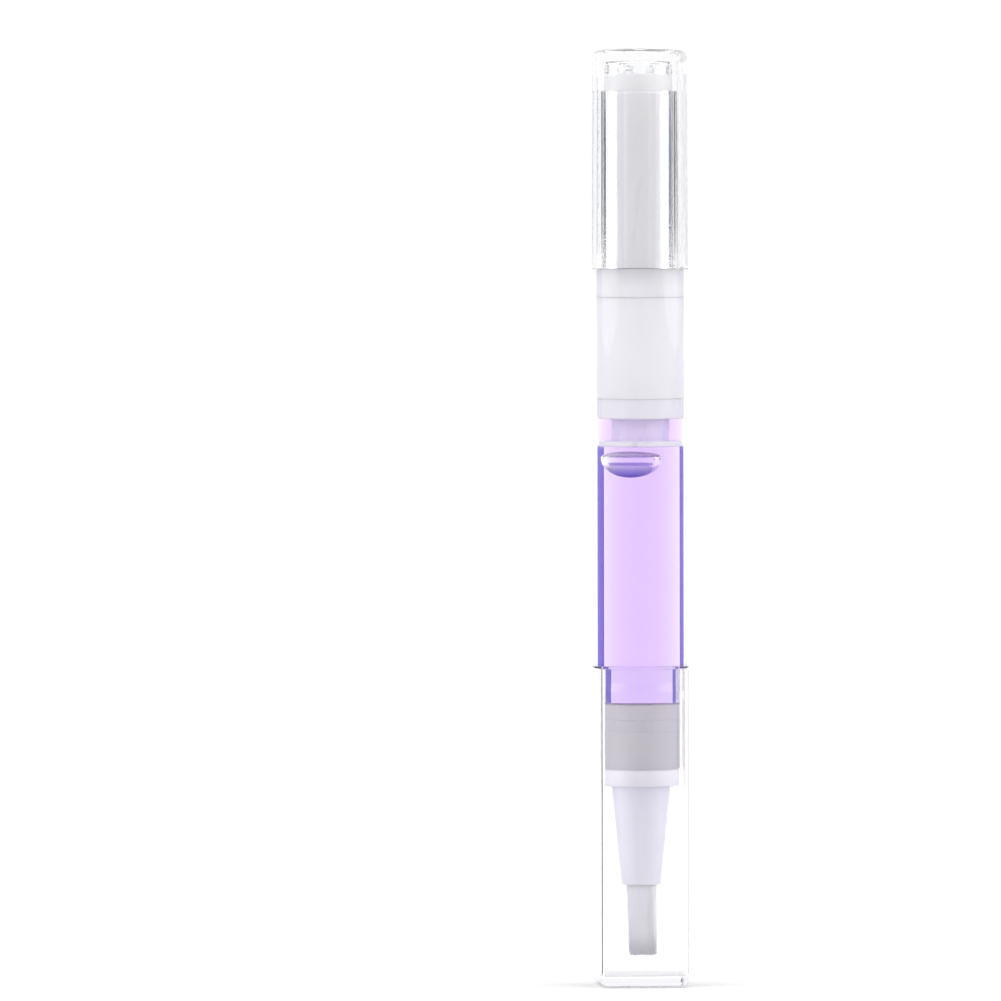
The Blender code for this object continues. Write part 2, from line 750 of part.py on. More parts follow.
def make_knob(knob_axis):
    knob = rounded_box(
        "knob", knob_side, knob_rim, knob_top + OVERRUN, KNOB_EDGE, KNOB_RIM_EDGE, rim_at_top=False
    )
    crown = turned("knob_crown", crown_outline(), ROUND_SIDES, pen_cutters)
    combine(knob, hide_tool(crown), "INTERSECT")
    socket_radius = spigot_radius + FIT
    bore = turned(
        "knob_bore",
        [
            (0.0, knob_inner_end),
            (socket_radius - BORE_END_EDGE, knob_inner_end),
            (socket_radius, knob_inner_end - BORE_END_EDGE),
            (socket_radius, spigot_bottom + FIT),
            (knob_bore_radius, spigot_bottom + FIT),
            (knob_bore_radius, knob_rim - OVERRUN),
            (0.0, knob_rim - OVERRUN),
        ],
        ROUND_SIDES,
        pen_cutters,
    )
    cut(knob, hide_tool(bore))
    ball_radius = (DIMPLE_RADIUS ** 2 + DIMPLE_DEPTH ** 2) / (2 * DIMPLE_DEPTH)
    ball = arc_outline(ball_radius, knob_top - DIMPLE_DEPTH + ball_radius)
    dimple = turned("gate_dimple", ball, SMALL_SIDES, pen_cutters)
    cut(knob, hide_tool(dimple))
    return settle(knob, CLEAR_PLASTIC, knob_rim, knob_axis)


ARC_STEPS = 16
CROWN_STEPS = 6


def arc_outline(radius, centre):
    """A ball's half outline, from its top round to its bottom."""
    turns = [math.pi * i / ARC_STEPS for i in range(ARC_STEPS + 1)]
    outline = [(radius * math.sin(turn), centre + radius * math.cos(turn)) for turn in turns]
    outline[0] = (0.0, centre + radius)
    outline[-1] = (0.0, centre - radius)
    return outline


def crown_outline():
    """A plug whose upper face is the crown, wide enough to take in the knob's corners."""
    reach = knob_side
    outline = [(0.0, knob_top)]
    for i in range(1, CROWN_STEPS + 1):
        radius = reach * i / CROWN_STEPS
        outline.append((radius, knob_top - CROWN_RADIUS + math.sqrt(CROWN_RADIUS ** 2 - radius ** 2)))
    return outline + [(reach, knob_rim - OVERRUN), (0.0, knob_rim - OVERRUN)]


make_cap()
make_barrel()
make_nozzle()
make_brush()
make_feed_tube()
make_oil()
make_rear_bushing()
make_ratchet_ring()
knob_turn_axis = carrier("knob_turn_axis", knob_rim, KNOB_REST_TURN, barrel_axis)
piston_slide_axis = carrier("piston_slide_axis", piston_front, parent=barrel_axis)
make_drive_sleeve(knob_turn_axis)
make_knob(knob_turn_axis)
make_push_rod(knob_turn_axis)
make_piston(piston_slide_axis)
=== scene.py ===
import math

import bmesh
import bpy
from mathutils import Matrix, Vector


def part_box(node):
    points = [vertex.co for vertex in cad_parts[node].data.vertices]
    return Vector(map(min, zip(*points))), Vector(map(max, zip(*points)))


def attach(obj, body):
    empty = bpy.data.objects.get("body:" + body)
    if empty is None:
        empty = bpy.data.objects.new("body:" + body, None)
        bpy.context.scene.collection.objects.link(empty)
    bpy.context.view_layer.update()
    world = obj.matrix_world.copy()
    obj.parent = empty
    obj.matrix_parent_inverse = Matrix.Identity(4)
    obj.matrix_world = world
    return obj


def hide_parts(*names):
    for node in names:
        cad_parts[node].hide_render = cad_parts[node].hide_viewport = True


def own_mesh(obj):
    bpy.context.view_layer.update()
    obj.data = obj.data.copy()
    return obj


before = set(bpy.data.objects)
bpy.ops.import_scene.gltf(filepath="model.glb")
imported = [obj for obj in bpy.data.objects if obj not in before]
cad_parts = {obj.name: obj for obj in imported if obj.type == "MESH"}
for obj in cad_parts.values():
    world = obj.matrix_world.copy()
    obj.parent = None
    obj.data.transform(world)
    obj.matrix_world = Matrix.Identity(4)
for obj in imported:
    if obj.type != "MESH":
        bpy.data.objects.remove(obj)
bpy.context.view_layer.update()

scene = bpy.context.scene


# Camera. It stands in front of the pen and a little to its left, above its middle, and looks slightly down.
# The pen stands right of the middle of the view.
CAMERA_TURN = math.radians(-5.8)
CAMERA_DISTANCE = 2.5
CAMERA_HEIGHT = 0.16
CAMERA_LENS = 581.6
CAMERA_ROLL = math.radians(-0.1)
CAMERA_NEAR = 0.01
VIEW_MIDDLE_HEIGHT = 0.07505
PEN_BESIDE_MIDDLE = 0.02165

towards_camera = Vector((math.sin(CAMERA_TURN), -math.cos(CAMERA_TURN), 0))
leftwards = Vector((-math.cos(CAMERA_TURN), -math.sin(CAMERA_TURN), 0))

camera = bpy.data.objects.new("camera", bpy.data.cameras.new("camera"))
scene.collection.objects.link(camera)
camera.location = towards_camera * CAMERA_DISTANCE + Vector((0, 0, CAMERA_HEIGHT))
aim = leftwards * PEN_BESIDE_MIDDLE + Vector((0, 0, VIEW_MIDDLE_HEIGHT))
facing = (aim - camera.location).to_track_quat("-Z", "Y").to_matrix()
camera.rotation_euler = (facing @ Matrix.Rotation(CAMERA_ROLL, 3, "Z")).to_euler()
camera.data.lens = CAMERA_LENS
camera.data.clip_start = CAMERA_NEAR
scene.camera = camera
scene.view_settings.view_transform = "Standard"


# Studio light. A white tent lights the pen from all round: brighter from the two sides, dimmer from the
# opening where the camera stands. The camera sees the tent as plain white.
TENT_OPENING = 0.85
TENT_SIDE = 2.7
TENT_BACK = 1.0
TENT_STEPS = (
    (0.00, TENT_BACK),
    (0.30, TENT_BACK),
    (0.48, TENT_SIDE),
    (0.72, TENT_SIDE),
    (0.86, TENT_OPENING),
    (1.00, TENT_OPENING),
)
TENT_SEEN = (1, 1, 1, 1)


def feed(node, feeds):
    """Feeds a node's sockets, each with a value or with another node's output, which is linked to it."""
    for socket, value in feeds.items():
        if isinstance(value, bpy.types.NodeSocket):
            node.id_data.links.new(value, node.inputs[socket])
        else:
            node.inputs[socket].default_value = value


def put(tree, kind, feeds=None, **settings):
    """Adds a node, makes its settings and feeds its sockets."""
    node = tree.nodes.new(kind)
    for name, value in settings.items():
        setattr(node, name, value)
    feed(node, feeds or {})
    return node


def light_tent():
    world = bpy.data.worlds.new("tent")
    world.use_nodes = True
    scene.world = world
    tree = world.node_tree
    direction = put(tree, "ShaderNodeTexCoord").outputs["Generated"]
    facing_camera = put(tree, "ShaderNodeVectorMath", {
        0: direction, 1: towards_camera
    }, operation="DOT_PRODUCT").outputs["Value"]
    share = put(tree, "ShaderNodeMapRange", {"Value": facing_camera, "From Min": -1.0, "From Max": 1.0})
    steps = put(tree, "ShaderNodeValToRGB", {"Fac": share.outputs["Result"]})
    steps.color_ramp.interpolation = "EASE"
    while len(steps.color_ramp.elements) < len(TENT_STEPS):
        steps.color_ramp.elements.new(1.0)
    for element, (place, level) in zip(steps.color_ramp.elements, TENT_STEPS):
        element.position = place
        element.color = (level, level, level, 1)
    seen = put(tree, "ShaderNodeLightPath").outputs["Is Camera Ray"]
    mixed = put(tree, "ShaderNodeMix", {
        0: seen, 6: steps.outputs["Color"], 7: TENT_SEEN
    }, data_type="RGBA")
    feed(tree.nodes["Background"], {"Color": mixed.outputs[2]})


light_tent()


# Floor. A sheet of white board that the pen stands on. It takes the pen's soft shadow, and a faint glow keeps
# it white where the camera and the clear pieces see it.
FLOOR_REACH = 4.0
FLOOR_DROP = 0.0001  # below the pen, so that the two faces don't share a plane
FLOOR_WHITE = 0.50
FLOOR_GLOW = 0.25


def reckon(tree, operation, *values):
    """One step of arithmetic on values or outputs."""
    return put(tree, "ShaderNodeMath", dict(enumerate(values)), operation=operation).outputs[0]


def glowing_material(name):
    """A material with an empty tree, whose glow isn't reckoned as a lamp."""
    material = bpy.data.materials.new(name)
    material.use_nodes = True
    material.node_tree.nodes.clear()
    material.cycles.emission_sampling = "NONE"
    return material


def flat_sheet(name, corners, faces, material):
    mesh = bpy.data.meshes.new(name)
    mesh.from_pydata(corners, [], faces)
    mesh.materials.append(material)
    sheet = bpy.data.objects.new(name, mesh)
    scene.collection.objects.link(sheet)
    return sheet


def floor_board():
    material = glowing_material("floor_board")
    tree = material.node_tree
    path = put(tree, "ShaderNodeLightPath").outputs
    shown = reckon(tree, "MAXIMUM", path["Is Camera Ray"], path["Is Glossy Ray"])
    shown = reckon(tree, "MAXIMUM", shown, path["Is Transmission Ray"])
    glow = reckon(tree, "MULTIPLY", shown, FLOOR_GLOW)
    board = put(tree, "ShaderNodeBsdfDiffuse", {"Color": (FLOOR_WHITE, FLOOR_WHITE, FLOOR_WHITE, 1)})
    light = put(tree, "ShaderNodeEmission", {"Strength": glow})
    both = put(tree, "ShaderNodeAddShader", {0: board.outputs[0], 1: light.outputs[0]})
    put(tree, "ShaderNodeOutputMaterial", {"Surface": both.outputs[0]})
    signs = ((-1, -1), (1, -1), (1, 1), (-1, 1))
    corners = [(x * FLOOR_REACH, y * FLOOR_REACH, -FLOOR_DROP) for x, y in signs]
    flat_sheet("floor", corners, [(0, 1, 2, 3)], material)


floor_board()


# Side cards. Two violet cards low down and two dark ones farther off and higher, on both sides of the
# backdrop. Only the clear pieces show them: they draw the deep edges of the oil and the knob's dark bars.
VIOLET_CARD_DISTANCE = 0.4
VIOLET_CARD_HEIGHTS = (0.0, 0.0712)
VIOLET_CARD_COLOUR = (0.15, 0.11, 0.62)
DARK_CARD_DISTANCE = 1.0
DARK_CARD_HEIGHTS = (0.092, 0.1305)
DARK_CARD_LEFT_COLOUR = (0.03, 0.035, 0.05)
DARK_CARD_RIGHT_COLOUR = (0.20, 0.22, 0.30)
SIDE_CARDS = (  # the angles are in degrees, from straight behind the pen to the left
    ("violet_card_left", VIOLET_CARD_DISTANCE, (41, 51), VIOLET_CARD_HEIGHTS, VIOLET_CARD_COLOUR),
    ("violet_card_right", VIOLET_CARD_DISTANCE, (-36, -51), VIOLET_CARD_HEIGHTS, VIOLET_CARD_COLOUR),
    ("dark_card_left", DARK_CARD_DISTANCE, (12, 40), DARK_CARD_HEIGHTS, DARK_CARD_LEFT_COLOUR),
    ("dark_card_right", DARK_CARD_DISTANCE, (-22, -60), DARK_CARD_HEIGHTS, DARK_CARD_RIGHT_COLOUR),
)
CARD_FOLD_ANGLE = 10


def side_card(name, distance, angles, heights, colour):
    """A bent card round the pen, folded about every ten degrees."""
    material = glowing_material(name)
    glow = put(material.node_tree, "ShaderNodeEmission", {"Color": (*colour, 1)})
    put(material.node_tree, "ShaderNodeOutputMaterial", {"Surface": glow.outputs[0]})
    first, last = angles
    folds = round(abs(last - first) / CARD_FOLD_ANGLE)
    corners = []
    for k in range(folds + 1):
        turn = math.radians(first + (last - first) * k / folds)
        away = Matrix.Rotation(turn, 3, "Z") @ -towards_camera * distance
        corners += [away + Vector((0, 0, height)) for height in heights]
    faces = [(2 * k, 2 * k + 1, 2 * k + 3, 2 * k + 2) for k in range(folds)]
    card = flat_sheet(name, corners, faces, material)
    card.visible_camera = False
    card.visible_diffuse = False
    card.visible_shadow = False


for card in SIDE_CARDS:
    side_card(*card)


# Cap. A square push-on cap, injection moulded in clear plastic, with thin flat walls and a thick base.
# The pen stands on it, and a bead on the barrel's neck holds it.
CAP_EDGE = 0.0002
CAP_BASE_EDGE = 0.0009
CAP_RIM_EDGE = 0.00002
CAP_WALL = 0.0005
CAP_FLOOR = 0.0017
CAVITY_EDGE = 0.00005
CAVITY_FLOOR_EDGE = 0.0001
CAP_BASE_TINT = (0.945, 0.94, 0.985, 1)  # below the cavity's floor, where the plastic is thick
CAP_INDEX = 1.32  # less than the plastic's own 1.49, so that the thin walls let enough light in

FLAT_POINTS = 17
CORNER_POINTS = 10
ARC_POINTS = 6
HOLD_SHARE = 0.35  # of an edge's radius: the flat strip beside it that stops its shading from spreading
SHARP_ANGLE = math.radians(31)
CLOUD_LOW = 0.35  # nearly all of a noise's values lie between these two
CLOUD_HIGH = 0.65
FLOW_MARKS = (260, 3, (1, 1, 0.12))  # a noise's scale, its detail and its stretch
RUB_MARKS = (900, 4)
CLEAR_TINTS = ((0.98, 0.982, 0.993), (0.993, 0.993, 1.0))
CLEAR_ROUGHNESS = (0.0, 0.035)
CLEAR_SHARE = 0.985
CLEAR_INDEX = 1.49
CLEAR_RIPPLE = 0.04
RIPPLE_HEIGHT = 0.00002


def skin(name, rows, material, ring=False):
    """A smooth skin over rows of points, with its faces outwards where the rows run down the outer side."""
    shape = bmesh.new()
    made = [[shape.verts.new(point) for point in row] for row in rows]
    pairs = list(zip(made, made[1:]))
    if ring:
        pairs.append((made[-1], made[0]))
    for upper, lower in pairs:
        count = max(len(upper), len(lower))
        for k in range(count):
            after = (k + 1) % count
            corners = [
                upper[k % len(upper)],
                lower[k % len(lower)],
                lower[after % len(lower)],
                upper[after % len(upper)],
            ]
            shape.faces.new(list(dict.fromkeys(corners)))
    mesh = bpy.data.meshes.new(name)
    shape.to_mesh(mesh)
    shape.free()
    mesh.materials.append(material)
    mesh.shade_smooth()
    mesh.set_sharp_from_angle(angle=SHARP_ANGLE)
    piece = bpy.data.objects.new(name, mesh)
    scene.collection.objects.link(piece)
    return piece


def square_row(half, edge, height):
    """A square with rounded corners; its height is a number, or a function of each point's place."""
    row = []
    flat = half - edge
    for quarter in range(4):
        corner = []
        for i in range(FLAT_POINTS):
            corner.append((half, flat * math.sin(math.pi / 2 * (2 * i / (FLAT_POINTS - 1) - 1))))
        for i in range(1, CORNER_POINTS):
            turn = math.pi / 2 * i / CORNER_POINTS
            corner.append((flat + edge * math.cos(turn), flat + edge * math.sin(turn)))
        for x, y in corner:
            for _ in range(quarter):
                x, y = -y, x
            row.append(Vector((x, y, height(x, y) if callable(height) else height)))
    return row


def edge_steps(edge):
    """(inwards, along) of the points round a quarter edge, from its outer side, with a hold at each end."""
    hold = edge * HOLD_SHARE
    arc = [math.pi / 2 * i / ARC_POINTS for i in range(ARC_POINTS + 1)]
    rounds = [(edge * (1 - math.cos(turn)), edge * (1 - math.sin(turn))) for turn in arc]
    return [(0, edge + hold)] + rounds + [(edge + hold, 0)]


def mottle(tree, scale, detail, stretch=(1, 1, 1)):
    """A cloudy noise on the piece's own coordinates, drawn out along some of them."""
    place = put(tree, "ShaderNodeTexCoord").outputs["Object"]
    drawn = put(tree, "ShaderNodeMapping", {"Vector": place, "Scale": stretch})
    cloud = put(tree, "ShaderNodeTexNoise", {"Vector": drawn.outputs[0], "Scale": scale, "Detail": detail})
    return cloud.outputs["Fac"]


def spread(tree, cloud, low, high):
    """The cloud's values spread from low to high."""
    return put(tree, "ShaderNodeMapRange", {
        "Value": cloud, "From Min": CLOUD_LOW, "From Max": CLOUD_HIGH, "To Min": low, "To Max": high
    }).outputs["Result"]


def tints(tree, cloud, one, other):
    """The cloud's values as colours between the two."""
    steps = put(tree, "ShaderNodeValToRGB", {"Fac": cloud})
    for element, place, colour in zip(steps.color_ramp.elements, (CLOUD_LOW, CLOUD_HIGH), (one, other)):
        element.position = place
        element.color = (*colour, 1)
    return steps.outputs["Color"]


def material_tree(name):
    material = bpy.data.materials.new(name)
    material.use_nodes = True
    return material, material.node_tree, material.node_tree.nodes["Principled BSDF"]


def clear_plastic(name, ripple=CLEAR_RIPPLE, index=CLEAR_INDEX, clear_share=CLEAR_SHARE):
    """Polished clear plastic: hardly tinted, with faint flow marks along the moulding and a lively polish."""
    material, tree, shader = material_tree(name)
    flow = mottle(tree, *FLOW_MARKS)
    bump = put(tree, "ShaderNodeBump", {"Strength": ripple, "Distance": RIPPLE_HEIGHT, "Height": flow})
    feed(shader, {
        "Base Color": tints(tree, flow, *CLEAR_TINTS),
        "Roughness": spread(tree, mottle(tree, *RUB_MARKS), *CLEAR_ROUGHNESS),
        "Transmission Weight": clear_share,
        "IOR": index,
        "Normal": bump.outputs["Normal"],
    })
    return material


def grade(material, bottom, top, low=None, high=None):
    """Lets the colour go over from low at the bottom to high at the top; None stands for its own colour."""
    tree = material.node_tree
    shader = tree.nodes["Principled BSDF"]
    own = shader.inputs["Base Color"].links[0].from_socket
    place = put(tree, "ShaderNodeTexCoord").outputs["Object"]
    height = put(tree, "ShaderNodeSeparateXYZ", {0: place}).outputs["Z"]
    share = put(tree, "ShaderNodeMapRange", {"Value": height, "From Min": bottom, "From Max": top})
    mixed = put(tree, "ShaderNodeMix", {
        0: share.outputs["Result"], 6: low or own, 7: high or own
    }, data_type="RGBA")
    feed(shader, {"Base Color": mixed.outputs[2]})
    return material


cap_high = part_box("cap")[1]
cap_half = cap_high.x
cavity_half = cap_half - CAP_WALL
cap_rim = cap_high.z


def make_cap():
    rows = [[Vector((0, 0, CAP_FLOOR))]]
    for inwards, along in reversed(edge_steps(CAVITY_FLOOR_EDGE)):
        rows.append(square_row(cavity_half - inwards, CAVITY_EDGE, CAP_FLOOR + along))
    for outwards, along in edge_steps(CAP_RIM_EDGE):
        rows.append(square_row(cavity_half + outwards, CAVITY_EDGE + outwards, cap_rim - along))
    for inwards, along in reversed(edge_steps(CAP_RIM_EDGE)):
        rows.append(square_row(cap_half - inwards, CAP_EDGE - inwards, cap_rim - along))
    for inwards, along in edge_steps(CAP_BASE_EDGE):
        rows.append(square_row(cap_half - inwards, CAP_EDGE + inwards, along))
    rows.append([Vector((0, 0, 0))])
    plastic = clear_plastic("cap_plastic", index=CAP_INDEX)
    grade(plastic, CAP_FLOOR - CAVITY_FLOOR_EDGE, CAP_FLOOR + CAVITY_FLOOR_EDGE, low=CAP_BASE_TINT)
    return skin("cap_shell", rows, plastic)


cap = make_cap()
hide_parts("cap")
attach(cap, "cap")


# Barrel. A thick-walled round tube in the same clear plastic. Below its shoulder is the narrower neck that
# the cap goes over, with the low bead that holds it. The oil and the pieces pressed into the bore touch its
# wall all round, so the wall between them can't be seen and its faces don't bend the light.
BORE_RADIUS = 0.0045
NECK_RADIUS = 0.0061
RIM_GAP = 0.00001  # between the cap's rim and the shoulder
BARREL_EDGE = 0.00015
SHOULDER_EDGE = 0.00002
NECK_EDGE = 0.0004
NECK_BEAD = 0.00004
NECK_BEAD_HEIGHT = 0.0014
NECK_BEAD_BELOW_RIM = 0.0036
WETTED_INDEX = 1.0  # of a face between plastic and oil, where light isn't bent

TURNED_SIDES = 160
HAIR = 0.00001  # two radii that differ by less are taken as the same
ARC_LIMIT_SHARE = 0.45  # of the straight piece beside a corner: the most that the corner's arc may take
HOLD_LIMIT_SHARE = 0.04  # the same for the hold beside the arc

barrel_low, barrel_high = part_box("barrel")
barrel_radius = barrel_high.x
neck_end = barrel_low.z
barrel_rear = barrel_high.z
shoulder = cap_rim + RIM_GAP


def rounded(outline, ring):
    """(radius, height) points, with an arc at each corner that carries an edge radius as a third number."""
    smooth = []
    count = len(outline)
    for i, corner in enumerate(outline):
        here = Vector(corner[:2])
        edge = corner[2] if len(corner) > 2 else 0.0
        if not edge or (not ring and i in (0, count - 1)):
            smooth.append(here)
            continue
        before = Vector(outline[i - 1][:2]) - here
        after = Vector(outline[(i + 1) % count][:2]) - here
        reach = edge / math.tan(before.angle(after) / 2)
        reach = min(reach, before.length * ARC_LIMIT_SHARE, after.length * ARC_LIMIT_SHARE)
        start = here + before.normalized() * reach
        end = here + after.normalized() * reach
        hold = reach * HOLD_SHARE
        smooth.append(start + before.normalized() * min(hold, before.length * HOLD_LIMIT_SHARE))
        for step in range(ARC_POINTS + 1):
            share = step / ARC_POINTS
            smooth.append(start * (1 - share) ** 2 + here * 2 * share * (1 - share) + end * share ** 2)
        smooth.append(end + after.normalized() * min(hold, after.length * HOLD_LIMIT_SHARE))
    return smooth


def turned(name, outline, material, sides=TURNED_SIDES):
    """A turned piece from an outline that runs down its outer side. One that leaves the axis is a ring."""
    ring = outline[0][0] > 0
    rows = []
    for radius, height in rounded(outline, ring):
        if radius <= 0:
            rows.append([Vector((0, 0, height))])
            continue
        turns = [math.tau * k / sides for k in range(sides)]
        rows.append([Vector((radius * math.cos(turn), radius * math.sin(turn), height)) for turn in turns])
    return skin(name, rows, material, ring)


def make_barrel():
    bead = cap_rim - NECK_BEAD_BELOW_RIM
    tube = turned("barrel_tube", [
        (barrel_radius, barrel_rear, BARREL_EDGE),
        (barrel_radius, shoulder, SHOULDER_EDGE),
        (NECK_RADIUS, shoulder, SHOULDER_EDGE),
        (NECK_RADIUS, bead + NECK_BEAD_HEIGHT, NECK_BEAD_HEIGHT),
        (NECK_RADIUS + NECK_BEAD, bead, NECK_BEAD_HEIGHT),
        (NECK_RADIUS, bead - NECK_BEAD_HEIGHT, NECK_BEAD_HEIGHT),
        (NECK_RADIUS, neck_end, NECK_EDGE),
        (BORE_RADIUS, neck_end, BARREL_EDGE),
        (BORE_RADIUS, barrel_rear, BARREL_EDGE),
    ], clear_plastic("barrel_plastic"))
    tube.data.materials.append(clear_plastic("barrel_bore", 0.0, WETTED_INDEX, 1.0))
    for face in tube.data.polygons:
        if all(tube.data.vertices[k].co.xy.length < BORE_RADIUS + HAIR for k in face.vertices):
            face.material_index = 1
    return tube


barrel = make_barrel()
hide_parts("barrel")
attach(barrel, "barrel")


# Nozzle. One moulding in milky plastic: a hollow plug with two fine grooves round it, pressed into the neck
# up to its flange, and a long cone with the hole for the brush. The violet light that the oil above sheds
# into the plug is painted into the plug's colour, stronger towards its top.
PRESS_FIT = 0.00002  # by which a pressed-in piece is wider than the bore that grips it
NOZZLE_LONGER = 0.0004  # than the solid
FLANGE_TOP = 0.03352
FLANGE_BOTTOM = 0.0309
FLANGE_RADIUS = 0.0059
FLANGE_EDGE = 0.0002
PLUG_EDGE = 0.0003
GROOVE_DEPTH = 0.00006
GROOVE_HEIGHT = 0.00012
GROOVE_EDGE = 0.00003
GROOVE_PLACES = (0.0025, 0.0043)  # below the plug's end
CONE_RADIUS = 0.00455
TIP_RADIUS = 0.0030
BRUSH_HOLE_RADIUS = 0.0026
CHAMBER_RADIUS = 0.00305
CHAMBER_FLOOR = 0.0240
NOZZLE_TINTS = ((0.81, 0.79, 0.91), (0.84, 0.82, 0.935))
NOZZLE_ROUGHNESS = 0.36
# painted light: the oil's violet light on the plug, painted into its colour from the flange up
PLUG_PAINTED_OIL_LIGHT = (0.97, 0.91, 1.0, 1)
PLUG_OIL_LIGHT_TOP = 0.03412  # the colour goes over from the flange's lower side to here

MOULDED_EDGE = 0.0001  # on the small edges of the moulded pieces
MILKY_CLOUDS = (420, 4, (1, 1, 0.2))
MILKY_GRAIN = (5200, 3)
MILKY_INDEX = 1.49
MILKY_DEPTH_SHARE = 0.3
MILKY_DEPTH = 0.0012
MILKY_DEPTH_COLOURS = (1.0, 0.95, 1.1)
GRAIN_STRENGTH = 0.15
GRAIN_HEIGHT = 0.00003
ROUGHNESS_SPREAD = 0.15

nozzle_low, nozzle_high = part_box("nozzle")
nozzle_tip = nozzle_low.z - NOZZLE_LONGER
plug_end = nozzle_high.z


def milky_plastic(name, shades, roughness, clear_share=0.0):
    """Milky moulded plastic that light gets into, with a soft gloss and clouds drawn out along its length."""
    material, tree, shader = material_tree(name)
    cloud = mottle(tree, *MILKY_CLOUDS)
    smoothest, roughest = roughness * (1 - ROUGHNESS_SPREAD), roughness * (1 + ROUGHNESS_SPREAD)
    bump = put(tree, "ShaderNodeBump", {
        "Strength": GRAIN_STRENGTH, "Distance": GRAIN_HEIGHT, "Height": mottle(tree, *MILKY_GRAIN)
    })
    feed(shader, {
        "Base Color": tints(tree, cloud, *shades),
        "Roughness": spread(tree, cloud, smoothest, roughest),
        "Transmission Weight": clear_share,
        "IOR": MILKY_INDEX,
        "Subsurface Weight": MILKY_DEPTH_SHARE,
        "Subsurface Radius": MILKY_DEPTH_COLOURS,
        "Subsurface Scale": MILKY_DEPTH,
        "Normal": bump.outputs["Normal"],
    })
    return material


def make_nozzle():
    plug_radius = BORE_RADIUS + PRESS_FIT
    outline = [(plug_radius, plug_end, PLUG_EDGE)]
    for below in GROOVE_PLACES:
        groove = plug_end - below
        outline += [
            (plug_radius, groove + GROOVE_HEIGHT, GROOVE_EDGE),
            (plug_radius - GROOVE_DEPTH, groove, GROOVE_EDGE),
            (plug_radius, groove - GROOVE_HEIGHT, GROOVE_EDGE),
        ]
    outline += [
        (plug_radius, FLANGE_TOP, MOULDED_EDGE),
        (FLANGE_RADIUS, FLANGE_TOP, FLANGE_EDGE),
        (FLANGE_RADIUS, FLANGE_BOTTOM, FLANGE_EDGE),
        (CONE_RADIUS, FLANGE_BOTTOM, MOULDED_EDGE),
        (TIP_RADIUS, nozzle_tip, FLANGE_EDGE),
        (BRUSH_HOLE_RADIUS, nozzle_tip, MOULDED_EDGE),
        (BRUSH_HOLE_RADIUS, CHAMBER_FLOOR),
        (CHAMBER_RADIUS, CHAMBER_FLOOR),
        (CHAMBER_RADIUS, plug_end, FLANGE_EDGE),
    ]
    plastic = milky_plastic("nozzle_plastic", NOZZLE_TINTS, NOZZLE_ROUGHNESS)
    # Paints the oil's violet light into the plug, from the flange's lower side up.
    grade(plastic, FLANGE_BOTTOM, PLUG_OIL_LIGHT_TOP, high=PLUG_PAINTED_OIL_LIGHT)
    return turned("nozzle_moulding", outline, plastic)


nozzle = make_nozzle()
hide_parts("nozzle")
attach(nozzle, "barrel")


# Brush. Twelve hundred tapered nylon strands, cut a little ragged and fused at the root into a round backing
# that sits in the nozzle. They close in towards the tip and lean to one side.
STRAND_COUNT = 1200
STRAND_SIDES = 4
STRAND_STEPS = 6
STRAND_RADIUS = 0.000085
STRAND_TIP_RADIUS = 0.00005
STRAND_SEED = 7
STRAND_TINTS = ((0.95, 0.93, 1.0), (0.98, 0.965, 1.0))
STRAND_CLOUDS = (1500, 3, (1, 1, 0.05))
STRAND_ROUGHNESS = (0.4, 0.6)
BRUSH_RADIUS = 0.00243
BRUSH_LONGER = 0.0005  # than the solid
BRUSH_RAGGED = 0.0015
BRUSH_LEAN = 0.00030
BRUSH_CLOSE = 0.10
BRUSH_STRAY = 0.00022
STRAY_SCALE = 900.0
BACKING_RADIUS = 0.00275
BACKING_BOTTOM = 0.0243
BACKING_TOP = 0.0258
BACKING_SIDES = 48
ROOT_DEPTH = 0.0004
TUBE_RADIUS = 0.0006
TUBE_ROOM = 0.0003
GOLDEN_TURN = math.pi * (3 - math.sqrt(5))

brush_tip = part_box("brush_bristles")[0].z - BRUSH_LONGER


def nylon():
    """Milky nylon, each strand its own shade."""
    material, tree, shader = material_tree("brush_nylon")
    cloud = mottle(tree, *STRAND_CLOUDS)
    feed(shader, {
        "Base Color": tints(tree, cloud, *STRAND_TINTS),
        "Roughness": spread(tree, cloud, *STRAND_ROUGHNESS),
    })
    return material


def sized_tree(name, sizes):
    """A Geometry Nodes tree with a named input for each size, and the node that gives its inputs."""
    tree = bpy.data.node_groups.new(name, "GeometryNodeTree")
    tree.interface.new_socket("Geometry", in_out="INPUT", socket_type="NodeSocketGeometry")
    for label, value in sizes.items():
        kind = "NodeSocketInt" if isinstance(value, int) else "NodeSocketFloat"
        tree.interface.new_socket(label, in_out="INPUT", socket_type=kind)
    tree.interface.new_socket("Geometry", in_out="OUTPUT", socket_type="NodeSocketGeometry")
    return tree, tree.nodes.new("NodeGroupInput").outputs


def close_tree(tree, geometry, material):
    real = put(tree, "GeometryNodeRealizeInstances", {"Geometry": geometry})
    dressed = put(tree, "GeometryNodeSetMaterial", {"Geometry": real.outputs[0], "Material": material})
    put(tree, "NodeGroupOutput", {0: dressed.outputs[0]})


def grow(piece, tree, sizes):
    """Runs the tree on the piece and keeps the result as the piece's own mesh."""
    step = piece.modifiers.new(tree.name, "NODES")
    step.node_group = tree
    for item in tree.interface.items_tree:
        if item.in_out == "INPUT" and item.name in sizes:
            step[item.identifier] = sizes[item.name]
    graph = bpy.context.evaluated_depsgraph_get()
    mesh = bpy.data.meshes.new_from_object(piece.evaluated_get(graph))
    piece.modifiers.clear()
    piece.data = mesh
    return piece


